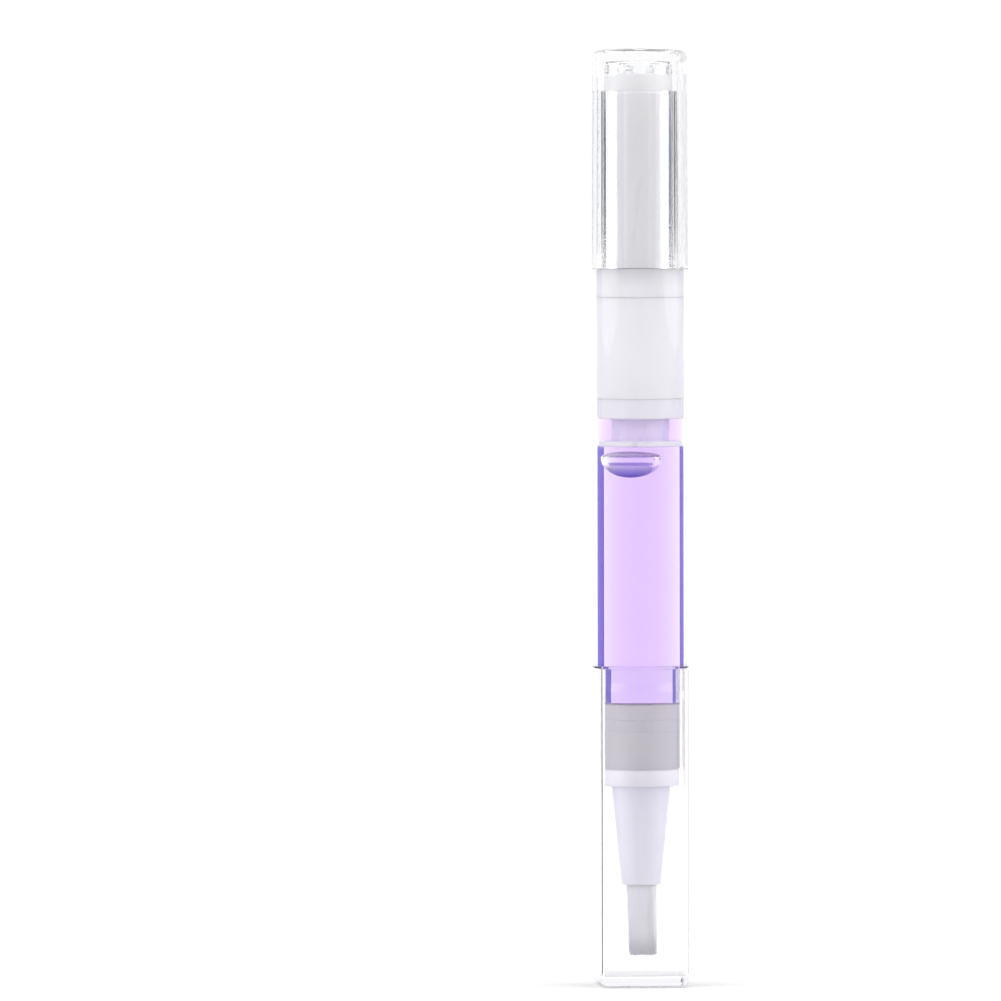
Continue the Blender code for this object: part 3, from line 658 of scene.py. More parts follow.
def straight_strands(tree, given):
    """Upright strands, spaced evenly round the feed tube on a spiral, from the root to their ragged tips."""
    order = put(tree, "GeometryNodeInputIndex").outputs[0]
    filled = reckon(tree, "DIVIDE", reckon(tree, "ADD", order, 0.5), given["Strands"])
    inner = reckon(tree, "POWER", given["Tube Radius"], 2)
    outer = reckon(tree, "POWER", given["Brush Radius"], 2)
    ring = reckon(tree, "SUBTRACT", outer, inner)
    distance = reckon(tree, "SQRT", reckon(tree, "ADD", inner, reckon(tree, "MULTIPLY", filled, ring)))
    turn = reckon(tree, "MULTIPLY", order, GOLDEN_TURN)
    short = put(tree, "FunctionNodeRandomValue", {
        2: 0.0, 3: 1.0, "Seed": STRAND_SEED
    }, data_type="FLOAT").outputs[1]
    tip = reckon(tree, "ADD", given["Tip"], reckon(tree, "MULTIPLY", short, given["Ragged"]))
    place = put(tree, "ShaderNodeCombineXYZ", {
        0: reckon(tree, "MULTIPLY", distance, reckon(tree, "COSINE", turn)),
        1: reckon(tree, "MULTIPLY", distance, reckon(tree, "SINE", turn)),
        2: tip,
    }).outputs[0]
    places = put(tree, "GeometryNodePoints", {"Count": given["Strands"], "Position": place})
    strand = put(tree, "GeometryNodeMeshCone", {
        "Vertices": STRAND_SIDES,
        "Side Segments": STRAND_STEPS,
        "Radius Top": STRAND_RADIUS,
        "Radius Bottom": STRAND_TIP_RADIUS,
        "Depth": 1.0,
    })
    length = reckon(tree, "SUBTRACT", given["Root"], tip)
    drawn = put(tree, "ShaderNodeCombineXYZ", {0: 1.0, 1: 1.0, 2: length}).outputs[0]
    spin = put(tree, "ShaderNodeCombineXYZ", {2: turn}).outputs[0]
    tuft = put(tree, "GeometryNodeInstanceOnPoints", {
        "Points": places.outputs[0], "Instance": strand.outputs["Mesh"], "Rotation": spin, "Scale": drawn
    })
    return put(tree, "GeometryNodeRealizeInstances", {"Geometry": tuft.outputs[0]}).outputs[0]


def bent_strands(tree, given, strands):
    """The strands drawn together and over to one side towards the tip, each a little astray."""
    here = put(tree, "GeometryNodeInputPosition").outputs[0]
    split = put(tree, "ShaderNodeSeparateXYZ", {0: here}).outputs
    down = put(tree, "ShaderNodeMapRange", {
        "Value": split["Z"], "From Min": given["Root"], "From Max": given["Tip"]
    }).outputs["Result"]
    bend = reckon(tree, "POWER", down, 2)
    narrow = reckon(tree, "SUBTRACT", 1.0, reckon(tree, "MULTIPLY", given["Close"], bend))
    lean = reckon(tree, "MULTIPLY", given["Lean"], bend)
    moved = put(tree, "ShaderNodeCombineXYZ", {
        0: reckon(tree, "ADD", reckon(tree, "MULTIPLY", split["X"], narrow), lean),
        1: reckon(tree, "MULTIPLY", split["Y"], narrow),
        2: split["Z"],
    }).outputs[0]
    cloud = put(tree, "ShaderNodeTexNoise", {"Vector": here, "Scale": STRAY_SCALE, "Detail": 1.0}).outputs
    astray = put(tree, "ShaderNodeVectorMath", {0: cloud["Color"], 1: (0.5, 0.5, 0.5)}, operation="SUBTRACT")
    flat = put(tree, "ShaderNodeVectorMath", {0: astray.outputs[0], 1: (1, 1, 0)}, operation="MULTIPLY")
    drift = put(tree, "ShaderNodeVectorMath", {
        0: flat.outputs[0], "Scale": reckon(tree, "MULTIPLY", given["Stray"], bend)
    }, operation="SCALE")
    final = put(tree, "ShaderNodeVectorMath", {0: moved, 1: drift.outputs[0]}, operation="ADD").outputs[0]
    bent = put(tree, "GeometryNodeSetPosition", {"Geometry": strands, "Position": final})
    return put(tree, "GeometryNodeSetShadeSmooth", {"Geometry": bent.outputs[0]}).outputs[0]


def make_strands(material):
    sizes = {
        "Strands": STRAND_COUNT,
        "Brush Radius": BRUSH_RADIUS - STRAND_RADIUS,
        "Tube Radius": TUBE_RADIUS + STRAND_RADIUS * 2,
        "Root": BACKING_BOTTOM + ROOT_DEPTH,
        "Tip": brush_tip,
        "Ragged": BRUSH_RAGGED,
        "Lean": BRUSH_LEAN,
        "Close": BRUSH_CLOSE,
        "Stray": BRUSH_STRAY,
    }
    tree, given = sized_tree("bristles", sizes)
    close_tree(tree, bent_strands(tree, given, straight_strands(tree, given)), material)
    holder = bpy.data.objects.new("brush_strands", bpy.data.meshes.new("brush_strands"))
    scene.collection.objects.link(holder)
    return grow(holder, tree, sizes)


def make_backing(material):
    return turned("brush_backing", [
        (BACKING_RADIUS, BACKING_TOP, MOULDED_EDGE),
        (BACKING_RADIUS, BACKING_BOTTOM, MOULDED_EDGE),
        (TUBE_RADIUS + TUBE_ROOM, BACKING_BOTTOM),
        (TUBE_RADIUS + TUBE_ROOM, BACKING_TOP),
    ], material, BACKING_SIDES)


brush_finish = nylon()
strands = make_strands(brush_finish)
backing = make_backing(brush_finish)
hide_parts("brush_bristles")
for piece in (strands, backing):
    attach(piece, "barrel")


# Feed tube. A thin extruded tube in white plastic, pushed through the brush's backing. It leads the oil from
# the nozzle to the middle of the brush.
TUBE_BORE_RADIUS = 0.00035
TUBE_SIDES = 32
FINE_EDGE = 0.00005
TUBE_TINTS = ((0.88, 0.88, 0.92), (0.92, 0.92, 0.95))
TUBE_ROUGHNESS = 0.34

tube_low, tube_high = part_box("feed_tube")


def make_feed_tube():
    return turned("feed_tube_body", [
        (TUBE_RADIUS, tube_high.z, FINE_EDGE),
        (TUBE_RADIUS, tube_low.z, FINE_EDGE),
        (TUBE_BORE_RADIUS, tube_low.z, FINE_EDGE),
        (TUBE_BORE_RADIUS, tube_high.z, FINE_EDGE),
    ], milky_plastic("feed_tube_plastic", TUBE_TINTS, TUBE_ROUGHNESS), TUBE_SIDES)


feed_tube = make_feed_tube()
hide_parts("feed_tube")
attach(feed_tube, "barrel")


# Oil. A clear lilac liquid that fills the bore between the nozzle's plug and the piston, also round the
# piston's waist, with one air bubble left in it when it was filled.
OIL_OVERLAP = 0.00002  # into the wall, so that no film of air is left between them
OIL_PAST_END = 0.0003  # past the solid's ends, to the plug and the piston
OIL_EDGE = 0.00015
OIL_DYE = (0.62, 0.25, 0.95, 1)
OIL_DYE_DENSITY = 100.0
OIL_INDEX = 1.485
OIL_CLOUDS = (300, 2)
OIL_TINTS = ((0.99, 0.985, 1.0), (1.0, 1.0, 1.0))
OIL_TINT_LIFT = 1.04
BUBBLE_HALF_WIDTH = 0.00338
BUBBLE_HALF_DEPTH = 0.0024
BUBBLE_RISE = 0.0010
BUBBLE_SAG = 0.0031
BUBBLE_BELOW_PISTON = 0.0007
BUBBLE_PLACE = (-0.00104, -0.0003)
BUBBLE_SIDES = 64
BUBBLE_RINGS = 32
BUBBLE_CRESCENT_SHARE = 0.42  # of the sag: below this the bubble's floor gets the painted violet crescent
# painted shade: the deepest violet of the crescent on the bubble's floor, at its bottom
BUBBLE_CRESCENT_CORE_PAINT = (0.10, 0.06, 0.95, 1)
BUBBLE_WALL = ((0.96, 0.95, 1.0), 1.0)  # a tint and the share of light that goes through
# painted light: the bubble's top is mostly a pale diffuse surface standing in for the light on it; a tint and
# the share that goes through
BUBBLE_TOP_PAINTED_LIGHT = ((0.95, 0.90, 1.0), 0.25)
# painted shade: the violet crescent on the bubble's floor, a tint and the share of light that goes through
BUBBLE_FLOOR_CRESCENT_PAINT = ((0.82, 0.74, 1.0), 0.2)

oil_low, oil_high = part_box("oil_fill")


def dyed_oil():
    """Clear dyed oil. Against plastic, which bends light as much as it does, its surface can't be seen."""
    material, tree, shader = material_tree("lilac_oil")
    feed(shader, {
        "Base Color": tints(tree, mottle(tree, *OIL_CLOUDS), *OIL_TINTS),
        "Roughness": 0.0,
        "Transmission Weight": 1.0,
        "IOR": WETTED_INDEX,
    })
    dye = put(tree, "ShaderNodeVolumeAbsorption", {"Color": OIL_DYE, "Density": OIL_DYE_DENSITY})
    feed(tree.nodes["Material Output"], {"Volume": dye.outputs[0]})
    return material


def oil_to_air(name, tint, clear_share):
    """The oil's surface round the bubble, where it does bend the light; its tint and diffuse share are
    painted light and shade.
    """
    material, tree, shader = material_tree(name)
    lifted = [min(1.0, part * OIL_TINT_LIFT) for part in tint]
    feed(shader, {
        "Base Color": tints(tree, mottle(tree, *OIL_CLOUDS), tint, lifted),
        "Roughness": 0.0,
        "Transmission Weight": clear_share,
        "IOR": OIL_INDEX,
    })
    return material


def melt_together(piece, other):
    """Adds the other piece's mesh to the first, and removes the other."""
    both = bmesh.new()
    both.from_mesh(piece.data)
    both.from_mesh(other.data)
    both.to_mesh(piece.data)
    both.free()
    bpy.data.objects.remove(other, do_unlink=True)
    return piece


def make_bubble(middle, material):
    """An egg of air that is flatter on top; its faces look into it, away from the oil."""
    rows = []
    for ring in range(BUBBLE_RINGS + 1):
        fall = math.pi * (BUBBLE_RINGS - ring) / BUBBLE_RINGS
        wide = math.sin(fall)
        height = (BUBBLE_RISE if math.cos(fall) > 0 else BUBBLE_SAG) * math.cos(fall)
        if ring in (0, BUBBLE_RINGS):
            rows.append([middle + Vector((0, 0, height))])
            continue
        turns = [math.tau * k / BUBBLE_SIDES for k in range(BUBBLE_SIDES)]
        rows.append([
            middle + Vector((
                BUBBLE_HALF_WIDTH * wide * math.cos(turn),
                BUBBLE_HALF_DEPTH * wide * math.sin(turn),
                height,
            ))
            for turn in turns
        ])
    bubble = skin("air_bubble", rows, material)
    bubble.data.transform(Matrix.Rotation(CAMERA_TURN, 4, "Z"))
    return bubble


def make_oil(material):
    radius = BORE_RADIUS + OIL_OVERLAP
    column = turned("oil_column", [
        (0, oil_high.z + OIL_PAST_END),
        (radius, oil_high.z + OIL_PAST_END, OIL_EDGE),
        (radius, oil_low.z - OIL_PAST_END, OIL_EDGE),
        (0, oil_low.z - OIL_PAST_END),
    ], material)
    middle = Vector((*BUBBLE_PLACE, oil_high.z - BUBBLE_BELOW_PISTON - BUBBLE_RISE))
    crescent_height = -BUBBLE_SAG * BUBBLE_CRESCENT_SHARE
    # The bubble's floor gets a painted violet crescent of reflection and shade, deepest at its bottom.
    floor = oil_to_air("bubble_floor_painted_crescent", *BUBBLE_FLOOR_CRESCENT_PAINT)
    grade(floor, middle.z - BUBBLE_SAG, middle.z + crescent_height, low=BUBBLE_CRESCENT_CORE_PAINT)
    column.data.materials.append(oil_to_air("bubble_wall", *BUBBLE_WALL))
    # The bubble's top carries painted pale light.
    column.data.materials.append(oil_to_air("bubble_top_painted_light", *BUBBLE_TOP_PAINTED_LIGHT))
    column.data.materials.append(floor)
    bubble = make_bubble(middle, material)
    # The column's finishes are the oil, then the bubble's wall, its top of painted light and its floor of
    # painted shade.
    for face in bubble.data.polygons:
        height = face.center.z - middle.z
        if height > BUBBLE_RISE / 2:
            face.material_index = 2
        elif height < crescent_height:
            face.material_index = 3
        else:
            face.material_index = 1
    return melt_together(column, bubble)


oil_finish = dyed_oil()
oil = make_oil(oil_finish)
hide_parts("oil_fill")
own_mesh(oil)
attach(oil, "barrel")


# Piston. A moulded plug in milky plastic: a guide disc at the front, a waist that the oil surrounds, and a
# sealing ring with a hollow skirt at the rear. The lead screw's foot snaps into it.
GUIDE_LENGTH = 0.0009
GUIDE_RADIUS = 0.0043
WAIST_RADIUS = 0.0030
SEAL_LENGTH = 0.0031
PISTON_EDGE = 0.00025
PISTON_LOWER = 0.0003  # than the solid
SKIRT_DEPTH = 0.0007
SKIRT_WALL = 0.0008
SKIRT_EDGE = 0.0003
SOCKET_RADIUS = 0.0019
SOCKET_BOTTOM = 0.0860
SOCKET_TOP = 0.0876
LIP_RADIUS = 0.0014
LIP_TOP = 0.0890
LIP_EDGE = 0.0002
PISTON_TINTS = ((0.88, 0.865, 0.975), (0.94, 0.93, 0.99))
PISTON_ROUGHNESS = 0.3
PISTON_CLEAR_SHARE = 0.03

piston_low, piston_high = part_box("piston")
piston_front = piston_low.z - PISTON_LOWER
piston_rear = piston_high.z - PISTON_LOWER


def make_piston():
    seal_radius = BORE_RADIUS + PRESS_FIT
    return turned("piston_body", [
        (0, SOCKET_BOTTOM),
        (SOCKET_RADIUS, SOCKET_BOTTOM, MOULDED_EDGE),
        (SOCKET_RADIUS, SOCKET_TOP, MOULDED_EDGE),
        (LIP_RADIUS, SOCKET_TOP, MOULDED_EDGE),
        (LIP_RADIUS, LIP_TOP, LIP_EDGE),
        (seal_radius - SKIRT_WALL, piston_rear - SKIRT_DEPTH, SKIRT_EDGE),
        (seal_radius - SKIRT_WALL, piston_rear, MOULDED_EDGE),
        (seal_radius, piston_rear, MOULDED_EDGE),
        (seal_radius, piston_rear - SEAL_LENGTH, PISTON_EDGE),
        (WAIST_RADIUS, piston_rear - SEAL_LENGTH, PISTON_EDGE),
        (WAIST_RADIUS, piston_front + GUIDE_LENGTH, PISTON_EDGE),
        (GUIDE_RADIUS, piston_front + GUIDE_LENGTH, PISTON_EDGE),
        (GUIDE_RADIUS, piston_front, PISTON_EDGE),
        (0, piston_front),
    ], milky_plastic("piston_plastic", PISTON_TINTS, PISTON_ROUGHNESS, PISTON_CLEAR_SHARE))


def make_waist_oil():
    top = piston_rear - SEAL_LENGTH + OIL_OVERLAP
    bottom = piston_front + GUIDE_LENGTH - OIL_OVERLAP
    radius = BORE_RADIUS + OIL_OVERLAP
    return turned("oil_round_piston", [
        (radius, top, OIL_EDGE),
        (radius, bottom, OIL_EDGE),
        (WAIST_RADIUS - OIL_OVERLAP, bottom),
        (WAIST_RADIUS - OIL_OVERLAP, top),
    ], oil_finish)


piston = make_piston()
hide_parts("piston")
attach(piston, "piston")
waist_oil = make_waist_oil()
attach(waist_oil, "piston")


# Lead screw. A white rod with a rounded two-start thread. Its foot pushes the piston, and the four fins at
# its rear end slide in the sleeve's grooves, which turn it.
THREAD_CREST_RADIUS = 0.0017
THREAD_DEPTH = 0.0006
THREAD_LEAD = 0.0030
THREAD_STARTS = 2.0
THREAD_ROW = 0.00012
THREAD_SIDES = 64
THREAD_RUN_OUT = 0.0002
ROD_THREAD_BOTTOM = 0.0946
FIN_COUNT = 4
FIN_LENGTH = 0.0020
FIN_REACH = 0.0023
FIN_THICKNESS = 0.0007
FIN_TIP = 0.0001
FIN_TIP_SHARE = 0.7  # of the thickness
FIN_ROOT_SHARE = 0.6  # of the rod's radius
STEM_RADIUS = 0.0009
STEM_TAPER = 0.0003
FOOT_RADIUS = 0.0016
FOOT_BOTTOM = 0.0863
FOOT_TOP = 0.0873
FOOT_EDGE = 0.0002
KNOB_TURN = math.radians(-12.0)
ROD_TINTS = ((0.87, 0.87, 0.91), (0.92, 0.92, 0.95))
ROD_ROUGHNESS = 0.3

rod_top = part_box("push_rod")[1].z


def off_axis(tree, x, y):
    """The distance from the pen's axis."""
    flat = put(tree, "ShaderNodeCombineXYZ", {0: x, 1: y}).outputs[0]
    return put(tree, "ShaderNodeVectorMath", {0: flat}, operation="LENGTH").outputs["Value"]


def cut_thread(piece, crest, bottom, top, turn, material):
    """Cuts the thread into the piece's points that lie nearer to the axis than Reach, from Bottom to Top."""
    sizes = {
        "Bottom": bottom - THREAD_ROW / 2,
        "Top": top + THREAD_ROW / 2,
        "Reach": crest + THREAD_ROW,
        "Crest": crest,
        "Depth": THREAD_DEPTH,
        "Lead": THREAD_LEAD,
        "Starts": THREAD_STARTS,
        "Turn": turn,
    }
    tree, given = sized_tree("screw_thread", sizes)
    here = put(tree, "GeometryNodeInputPosition").outputs[0]
    x, y, z = put(tree, "ShaderNodeSeparateXYZ", {0: here}).outputs
    distance = off_axis(tree, x, y)
    angle = reckon(tree, "SUBTRACT", reckon(tree, "ARCTAN2", y, x), given["Turn"])
    advance = reckon(tree, "MULTIPLY", reckon(tree, "DIVIDE", z, given["Lead"]), math.tau)
    phase = reckon(tree, "MULTIPLY", reckon(tree, "SUBTRACT", angle, advance), given["Starts"])
    wave = reckon(tree, "MULTIPLY", reckon(tree, "SUBTRACT", 1.0, reckon(tree, "COSINE", phase)), 0.5)
    radius = reckon(tree, "SUBTRACT", given["Crest"], reckon(tree, "MULTIPLY", wave, given["Depth"]))
    inwards = reckon(tree, "DIVIDE", radius, distance)
    moved = put(tree, "ShaderNodeCombineXYZ", {
        0: reckon(tree, "MULTIPLY", x, inwards), 1: reckon(tree, "MULTIPLY", y, inwards), 2: z
    }).outputs[0]
    above = reckon(tree, "GREATER_THAN", z, given["Bottom"])
    below = reckon(tree, "LESS_THAN", z, given["Top"])
    near = reckon(tree, "LESS_THAN", distance, given["Reach"])
    chosen = reckon(tree, "MULTIPLY", reckon(tree, "MULTIPLY", above, below), near)
    cut = put(tree, "GeometryNodeSetPosition", {
        "Geometry": given["Geometry"], "Selection": chosen, "Position": moved
    })
    close_tree(tree, cut.outputs[0], material)
    return grow(piece, tree, sizes)


def thread_rows(radius, first, last):
    """Closely spaced outline points along the thread."""
    count = round(abs(last - first) / THREAD_ROW)
    return [(radius, first + (last - first) * i / count) for i in range(count + 1)]


def fin_block(material):
    """One driver fin, from inside the rod out to its narrower tip."""
    bottom = rod_top - FIN_LENGTH
    root = THREAD_CREST_RADIUS * FIN_ROOT_SHARE
    half = FIN_THICKNESS / 2
    middle = Vector((0, 0, rod_top - FIN_LENGTH / 2))
    rows = [[middle + Vector((root, 0, 0))]]
    for x, drawn in ((root, half), (FIN_REACH - FIN_TIP, half), (FIN_REACH, half * FIN_TIP_SHARE)):
        corners = ((-drawn, bottom), (-drawn, rod_top), (drawn, rod_top), (drawn, bottom))
        rows.append([Vector((x, y, z)) for y, z in corners])
    rows.append([middle + Vector((FIN_REACH, 0, 0))])
    return skin("fin", rows, material)


def make_lead_screw():
    plastic = milky_plastic("lead_screw_plastic", ROD_TINTS, ROD_ROUGHNESS)
    thread_top = rod_top - FIN_LENGTH
    outline = [
        (0, rod_top),
        (THREAD_CREST_RADIUS, rod_top, MOULDED_EDGE),
        (THREAD_CREST_RADIUS, thread_top + THREAD_RUN_OUT),
    ]
    outline += thread_rows(THREAD_CREST_RADIUS, thread_top, ROD_THREAD_BOTTOM)
    outline += [
        (STEM_RADIUS, ROD_THREAD_BOTTOM - STEM_TAPER),
        (STEM_RADIUS, FOOT_TOP),
        (FOOT_RADIUS, FOOT_TOP, FINE_EDGE),
        (FOOT_RADIUS, FOOT_BOTTOM, FOOT_EDGE),
        (0, FOOT_BOTTOM),
    ]
    rod = turned("lead_screw", outline, plastic, THREAD_SIDES)
    cut_thread(rod, THREAD_CREST_RADIUS, ROD_THREAD_BOTTOM, thread_top, -KNOB_TURN, plastic)
    for k in range(FIN_COUNT):
        fin = fin_block(plastic)
        fin.data.transform(Matrix.Rotation(KNOB_TURN + k * math.tau / FIN_COUNT, 4, "Z"))
        melt_together(rod, fin)
    return rod


lead_screw = make_lead_screw()
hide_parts("push_rod")
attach(lead_screw, "rod")


# Rear bushing. A milky guide pressed into the bore: the nut for the lead screw below, and above it the pocket
# where the sleeve's bead turns.
BUSHING_EDGE = 0.00003
BUSHING_SKIRT_BOTTOM = 0.09082
BUSHING_SKIRT_INNER = 0.0037
BUSHING_SIDES = 96
NUT_LENGTH = 0.0040
POCKET_RADIUS = 0.00365
POCKET_LENGTH = 0.0017
MOUTH_RADIUS = 0.0032
THREAD_GAP = 0.0003
BUSHING_TINTS = ((0.93, 0.92, 0.995), (0.95, 0.94, 1.0))
BUSHING_ROUGHNESS = 0.34

bushing_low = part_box("rear_bushing")[0]
ratchet_low, ratchet_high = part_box("ratchet_ring")


def make_bushing():
    plastic = milky_plastic("bushing_plastic", BUSHING_TINTS, BUSHING_ROUGHNESS)
    nut = THREAD_CREST_RADIUS + THREAD_GAP
    radius = BORE_RADIUS + PRESS_FIT
    top = ratchet_low.z - PRESS_FIT
    pocket_bottom = bushing_low.z + NUT_LENGTH
    outline = [
        (radius, top, BUSHING_EDGE),
        (radius, BUSHING_SKIRT_BOTTOM, BUSHING_EDGE),
        (BUSHING_SKIRT_INNER, BUSHING_SKIRT_BOTTOM, MOULDED_EDGE),
        (BUSHING_SKIRT_INNER, bushing_low.z, MOULDED_EDGE),
    ]
    outline += thread_rows(nut, bushing_low.z, pocket_bottom)
    outline += [
        (POCKET_RADIUS, pocket_bottom, MOULDED_EDGE),
        (POCKET_RADIUS, pocket_bottom + POCKET_LENGTH, MOULDED_EDGE),
        (MOUTH_RADIUS, pocket_bottom + POCKET_LENGTH, MOULDED_EDGE),
        (MOUTH_RADIUS, top, MOULDED_EDGE),
    ]
    bushing = turned("bushing_moulding", outline, plastic, BUSHING_SIDES)
    return cut_thread(bushing, nut, bushing_low.z, pocket_bottom, 0.0, plastic)


bushing = make_bushing()
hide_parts("rear_bushing")
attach(bushing, "barrel")


# Ratchet ring. A milky ring pressed into the barrel's mouth, with sixteen saw teeth inside that the sleeve's
# two noses click past. Its outer side flares a little at both ends and grips the wall there.
RATCHET_TEETH = 16
TOOTH_TIP_RADIUS = 0.00335
TOOTH_ROOT_RADIUS = 0.00365
TOOTH_BACK_SHARE = 0.85
TOOTH_POINTS = 7
RATCHET_FLARE = 0.00004
MERGE_DISTANCE = 0.000001


def tooth_radius(share):
    """The teeth's inner outline over one pitch: a long back down to the root, then the steep front."""
    depth = share / TOOTH_BACK_SHARE
    if share >= TOOTH_BACK_SHARE:
        depth = (1 - share) / (1 - TOOTH_BACK_SHARE)
    return TOOTH_TIP_RADIUS + (TOOTH_ROOT_RADIUS - TOOTH_TIP_RADIUS) * depth


def ring_sector():
    """The part of the ring that carries one tooth."""
    outer = BORE_RADIUS + PRESS_FIT
    outside = outer * 2
    levels = rounded([
        (outside, ratchet_high.z),
        (outer, ratchet_high.z, RATCHET_FLARE),
        (outer, ratchet_low.z, RATCHET_FLARE),
        (outside, ratchet_low.z),
    ], False)[1:-1]
    sector = bmesh.new()
    columns = []
    for k in range(TOOTH_POINTS + 1):
        share = k / TOOTH_POINTS
        turn = math.tau / RATCHET_TEETH * share
        inner = tooth_radius(share)
        profile = [(inner, ratchet_high.z), *levels, (inner, ratchet_low.z)]
        columns.append([
            sector.verts.new((radius * math.cos(turn), radius * math.sin(turn), height))
            for radius, height in profile
        ])
    count = len(columns[0])
    for one, other in zip(columns, columns[1:]):
        for i in range(count):
            after = (i + 1) % count
            sector.faces.new((one[i], one[after], other[after], other[i]))
    mesh = bpy.data.meshes.new("ratchet_tooth")
    sector.to_mesh(mesh)
    sector.free()
    return mesh


def make_ratchet():
    plastic = milky_plastic("ratchet_plastic", BUSHING_TINTS, BUSHING_ROUGHNESS)
    ring = bpy.data.objects.new("ratchet_moulding", ring_sector())
    scene.collection.objects.link(ring)
    sizes = {"Teeth": RATCHET_TEETH}
    tree, given = sized_tree("ratchet_teeth", sizes)
    places = put(tree, "GeometryNodePoints", {"Count": given["Teeth"]})
    order = put(tree, "GeometryNodeInputIndex").outputs[0]
    turn = reckon(tree, "DIVIDE", reckon(tree, "MULTIPLY", order, math.tau), given["Teeth"])
    spin = put(tree, "ShaderNodeCombineXYZ", {2: turn}).outputs[0]
    round_axis = put(tree, "GeometryNodeInstanceOnPoints", {
        "Points": places.outputs[0], "Instance": given["Geometry"], "Rotation": spin
    })
    real = put(tree, "GeometryNodeRealizeInstances", {"Geometry": round_axis.outputs[0]})
    whole = put(tree, "GeometryNodeMergeByDistance", {
        "Geometry": real.outputs[0], "Distance": MERGE_DISTANCE
    })
    close_tree(tree, whole.outputs[0], plastic)
    grow(ring, tree, sizes)
    ring.data.shade_smooth()
    ring.data.set_sharp_from_angle(angle=SHARP_ANGLE)
    return ring


ratchet = make_ratchet()
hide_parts("ratchet_ring")
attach(ratchet, "barrel")


# Drive sleeve. White satin plastic. It fills the knob, its spigot is pressed into the knob's end, and its
# hollow spindle turns in the bushing. The cross-shaped channel through it carries the screw's fins.
SLEEVE_RADIUS = 0.0055
SLEEVE_INNER_RADIUS = 0.0046
SLEEVE_EDGE = 0.00025
SLEEVE_INNER_EDGE = 0.0002
SLEEVE_SIDES = 192
SPIGOT_RADIUS = 0.00527
SPIGOT_TOP_DROP = 0.0003
SPIGOT_LENGTH = 0.0033
SLEEVE_TUBE_RADIUS = 0.0031
SLEEVE_TUBE_TOP = 0.1400
WEB_THICKNESS = 0.0016
SPINDLE_RADIUS = 0.0029
BEAD_RADIUS = 0.00335
BEAD_LENGTH = 0.0011
CHANNEL_RADIUS = 0.0020
GROOVE_RADIUS = 0.0026
GROOVE_HALF_WIDTH = 0.00065
NOSE_HEIGHT = 0.00015
NOSE_HALF_WIDTH = 0.0004
NOSE_LENGTH = 0.0030
NOSE_SLOPE = 0.0001
SLEEVE_TINTS = ((0.95, 0.945, 0.985), (0.965, 0.96, 0.995))
SLEEVE_ROUGHNESS = 0.32
KNOB_CLOSER = 0.0002  # the knob's rim is nearer to the barrel than the solid's

sleeve_low, sleeve_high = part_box("drive_sleeve")
sleeve_top = sleeve_high.z - SPIGOT_TOP_DROP
spigot_bottom = sleeve_high.z - SPIGOT_LENGTH
bead_top = sleeve_low.z + BEAD_LENGTH
knob_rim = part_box("knob")[0].z - KNOB_CLOSER
nose_middle = (ratchet_low.z + ratchet_high.z) / 2
nose_top = nose_middle + NOSE_LENGTH / 2
nose_bottom = nose_middle - NOSE_LENGTH / 2


def channel_reach(turn):
    """The channel's distance from the axis in one direction: a round hole with four grooves."""
    off = abs((turn + math.pi / 4) % (math.pi / 2) - math.pi / 4)
    groove_side = GROOVE_HALF_WIDTH / math.sin(off) if off else GROOVE_RADIUS
    return max(CHANNEL_RADIUS, min(GROOVE_RADIUS, groove_side))


def nose_reach(turn):
    """The spindle's outline beside the ratchet: round, with a nose on two opposite sides."""
    off = abs((turn - math.pi / 4 + math.pi / 2) % math.pi - math.pi / 2) * SPINDLE_RADIUS
    flank = NOSE_HALF_WIDTH / 2
    rise = (NOSE_HALF_WIDTH + flank - off) / flank
    return SPINDLE_RADIUS + NOSE_HEIGHT * max(0.0, min(1.0, rise))


def make_sleeve():
    outline = rounded([
        (SLEEVE_TUBE_RADIUS, SLEEVE_TUBE_TOP, MOULDED_EDGE),
        (SLEEVE_TUBE_RADIUS, knob_rim + WEB_THICKNESS, SLEEVE_INNER_EDGE),
        (SLEEVE_INNER_RADIUS, knob_rim + WEB_THICKNESS, SLEEVE_INNER_EDGE),
        (SLEEVE_INNER_RADIUS, sleeve_top, MOULDED_EDGE),
        (SPIGOT_RADIUS, sleeve_top, SLEEVE_EDGE),
        (SPIGOT_RADIUS, spigot_bottom, MOULDED_EDGE),
        (SLEEVE_RADIUS, spigot_bottom, MOULDED_EDGE),
        (SLEEVE_RADIUS, knob_rim, MOULDED_EDGE),
        (SPINDLE_RADIUS, knob_rim, MOULDED_EDGE),
        (SPINDLE_RADIUS, nose_top),
        (SPINDLE_RADIUS, nose_top - NOSE_SLOPE),
        (SPINDLE_RADIUS, nose_bottom + NOSE_SLOPE),
        (SPINDLE_RADIUS, nose_bottom),
        (SPINDLE_RADIUS, bead_top, MOULDED_EDGE),
        (BEAD_RADIUS, bead_top, MOULDED_EDGE),
        (BEAD_RADIUS, bead_top - BEAD_LENGTH / 2, SLEEVE_INNER_EDGE),
        (SPINDLE_RADIUS, sleeve_low.z, MOULDED_EDGE),
        (CHANNEL_RADIUS, sleeve_low.z),
        (CHANNEL_RADIUS, SLEEVE_TUBE_TOP),
    ], True)
    rows = []
    for radius, height in outline:
        row = []
        for k in range(SLEEVE_SIDES):
            turn = math.tau * k / SLEEVE_SIDES
            reach = radius
            if abs(radius - CHANNEL_RADIUS) < HAIR:
                reach = channel_reach(turn)
            elif abs(radius - SPINDLE_RADIUS) < HAIR and nose_bottom < height < nose_top:
                reach = nose_reach(turn)
            row.append(Vector((reach * math.cos(turn), reach * math.sin(turn), height)))
        rows.append(row)
    plastic = milky_plastic("sleeve_plastic", SLEEVE_TINTS, SLEEVE_ROUGHNESS)
    sleeve = skin("sleeve_moulding", rows, plastic, ring=True)
    sleeve.data.transform(Matrix.Rotation(KNOB_TURN, 4, "Z"))
    return sleeve


sleeve = make_sleeve()
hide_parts("drive_sleeve")
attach(sleeve, "knob")


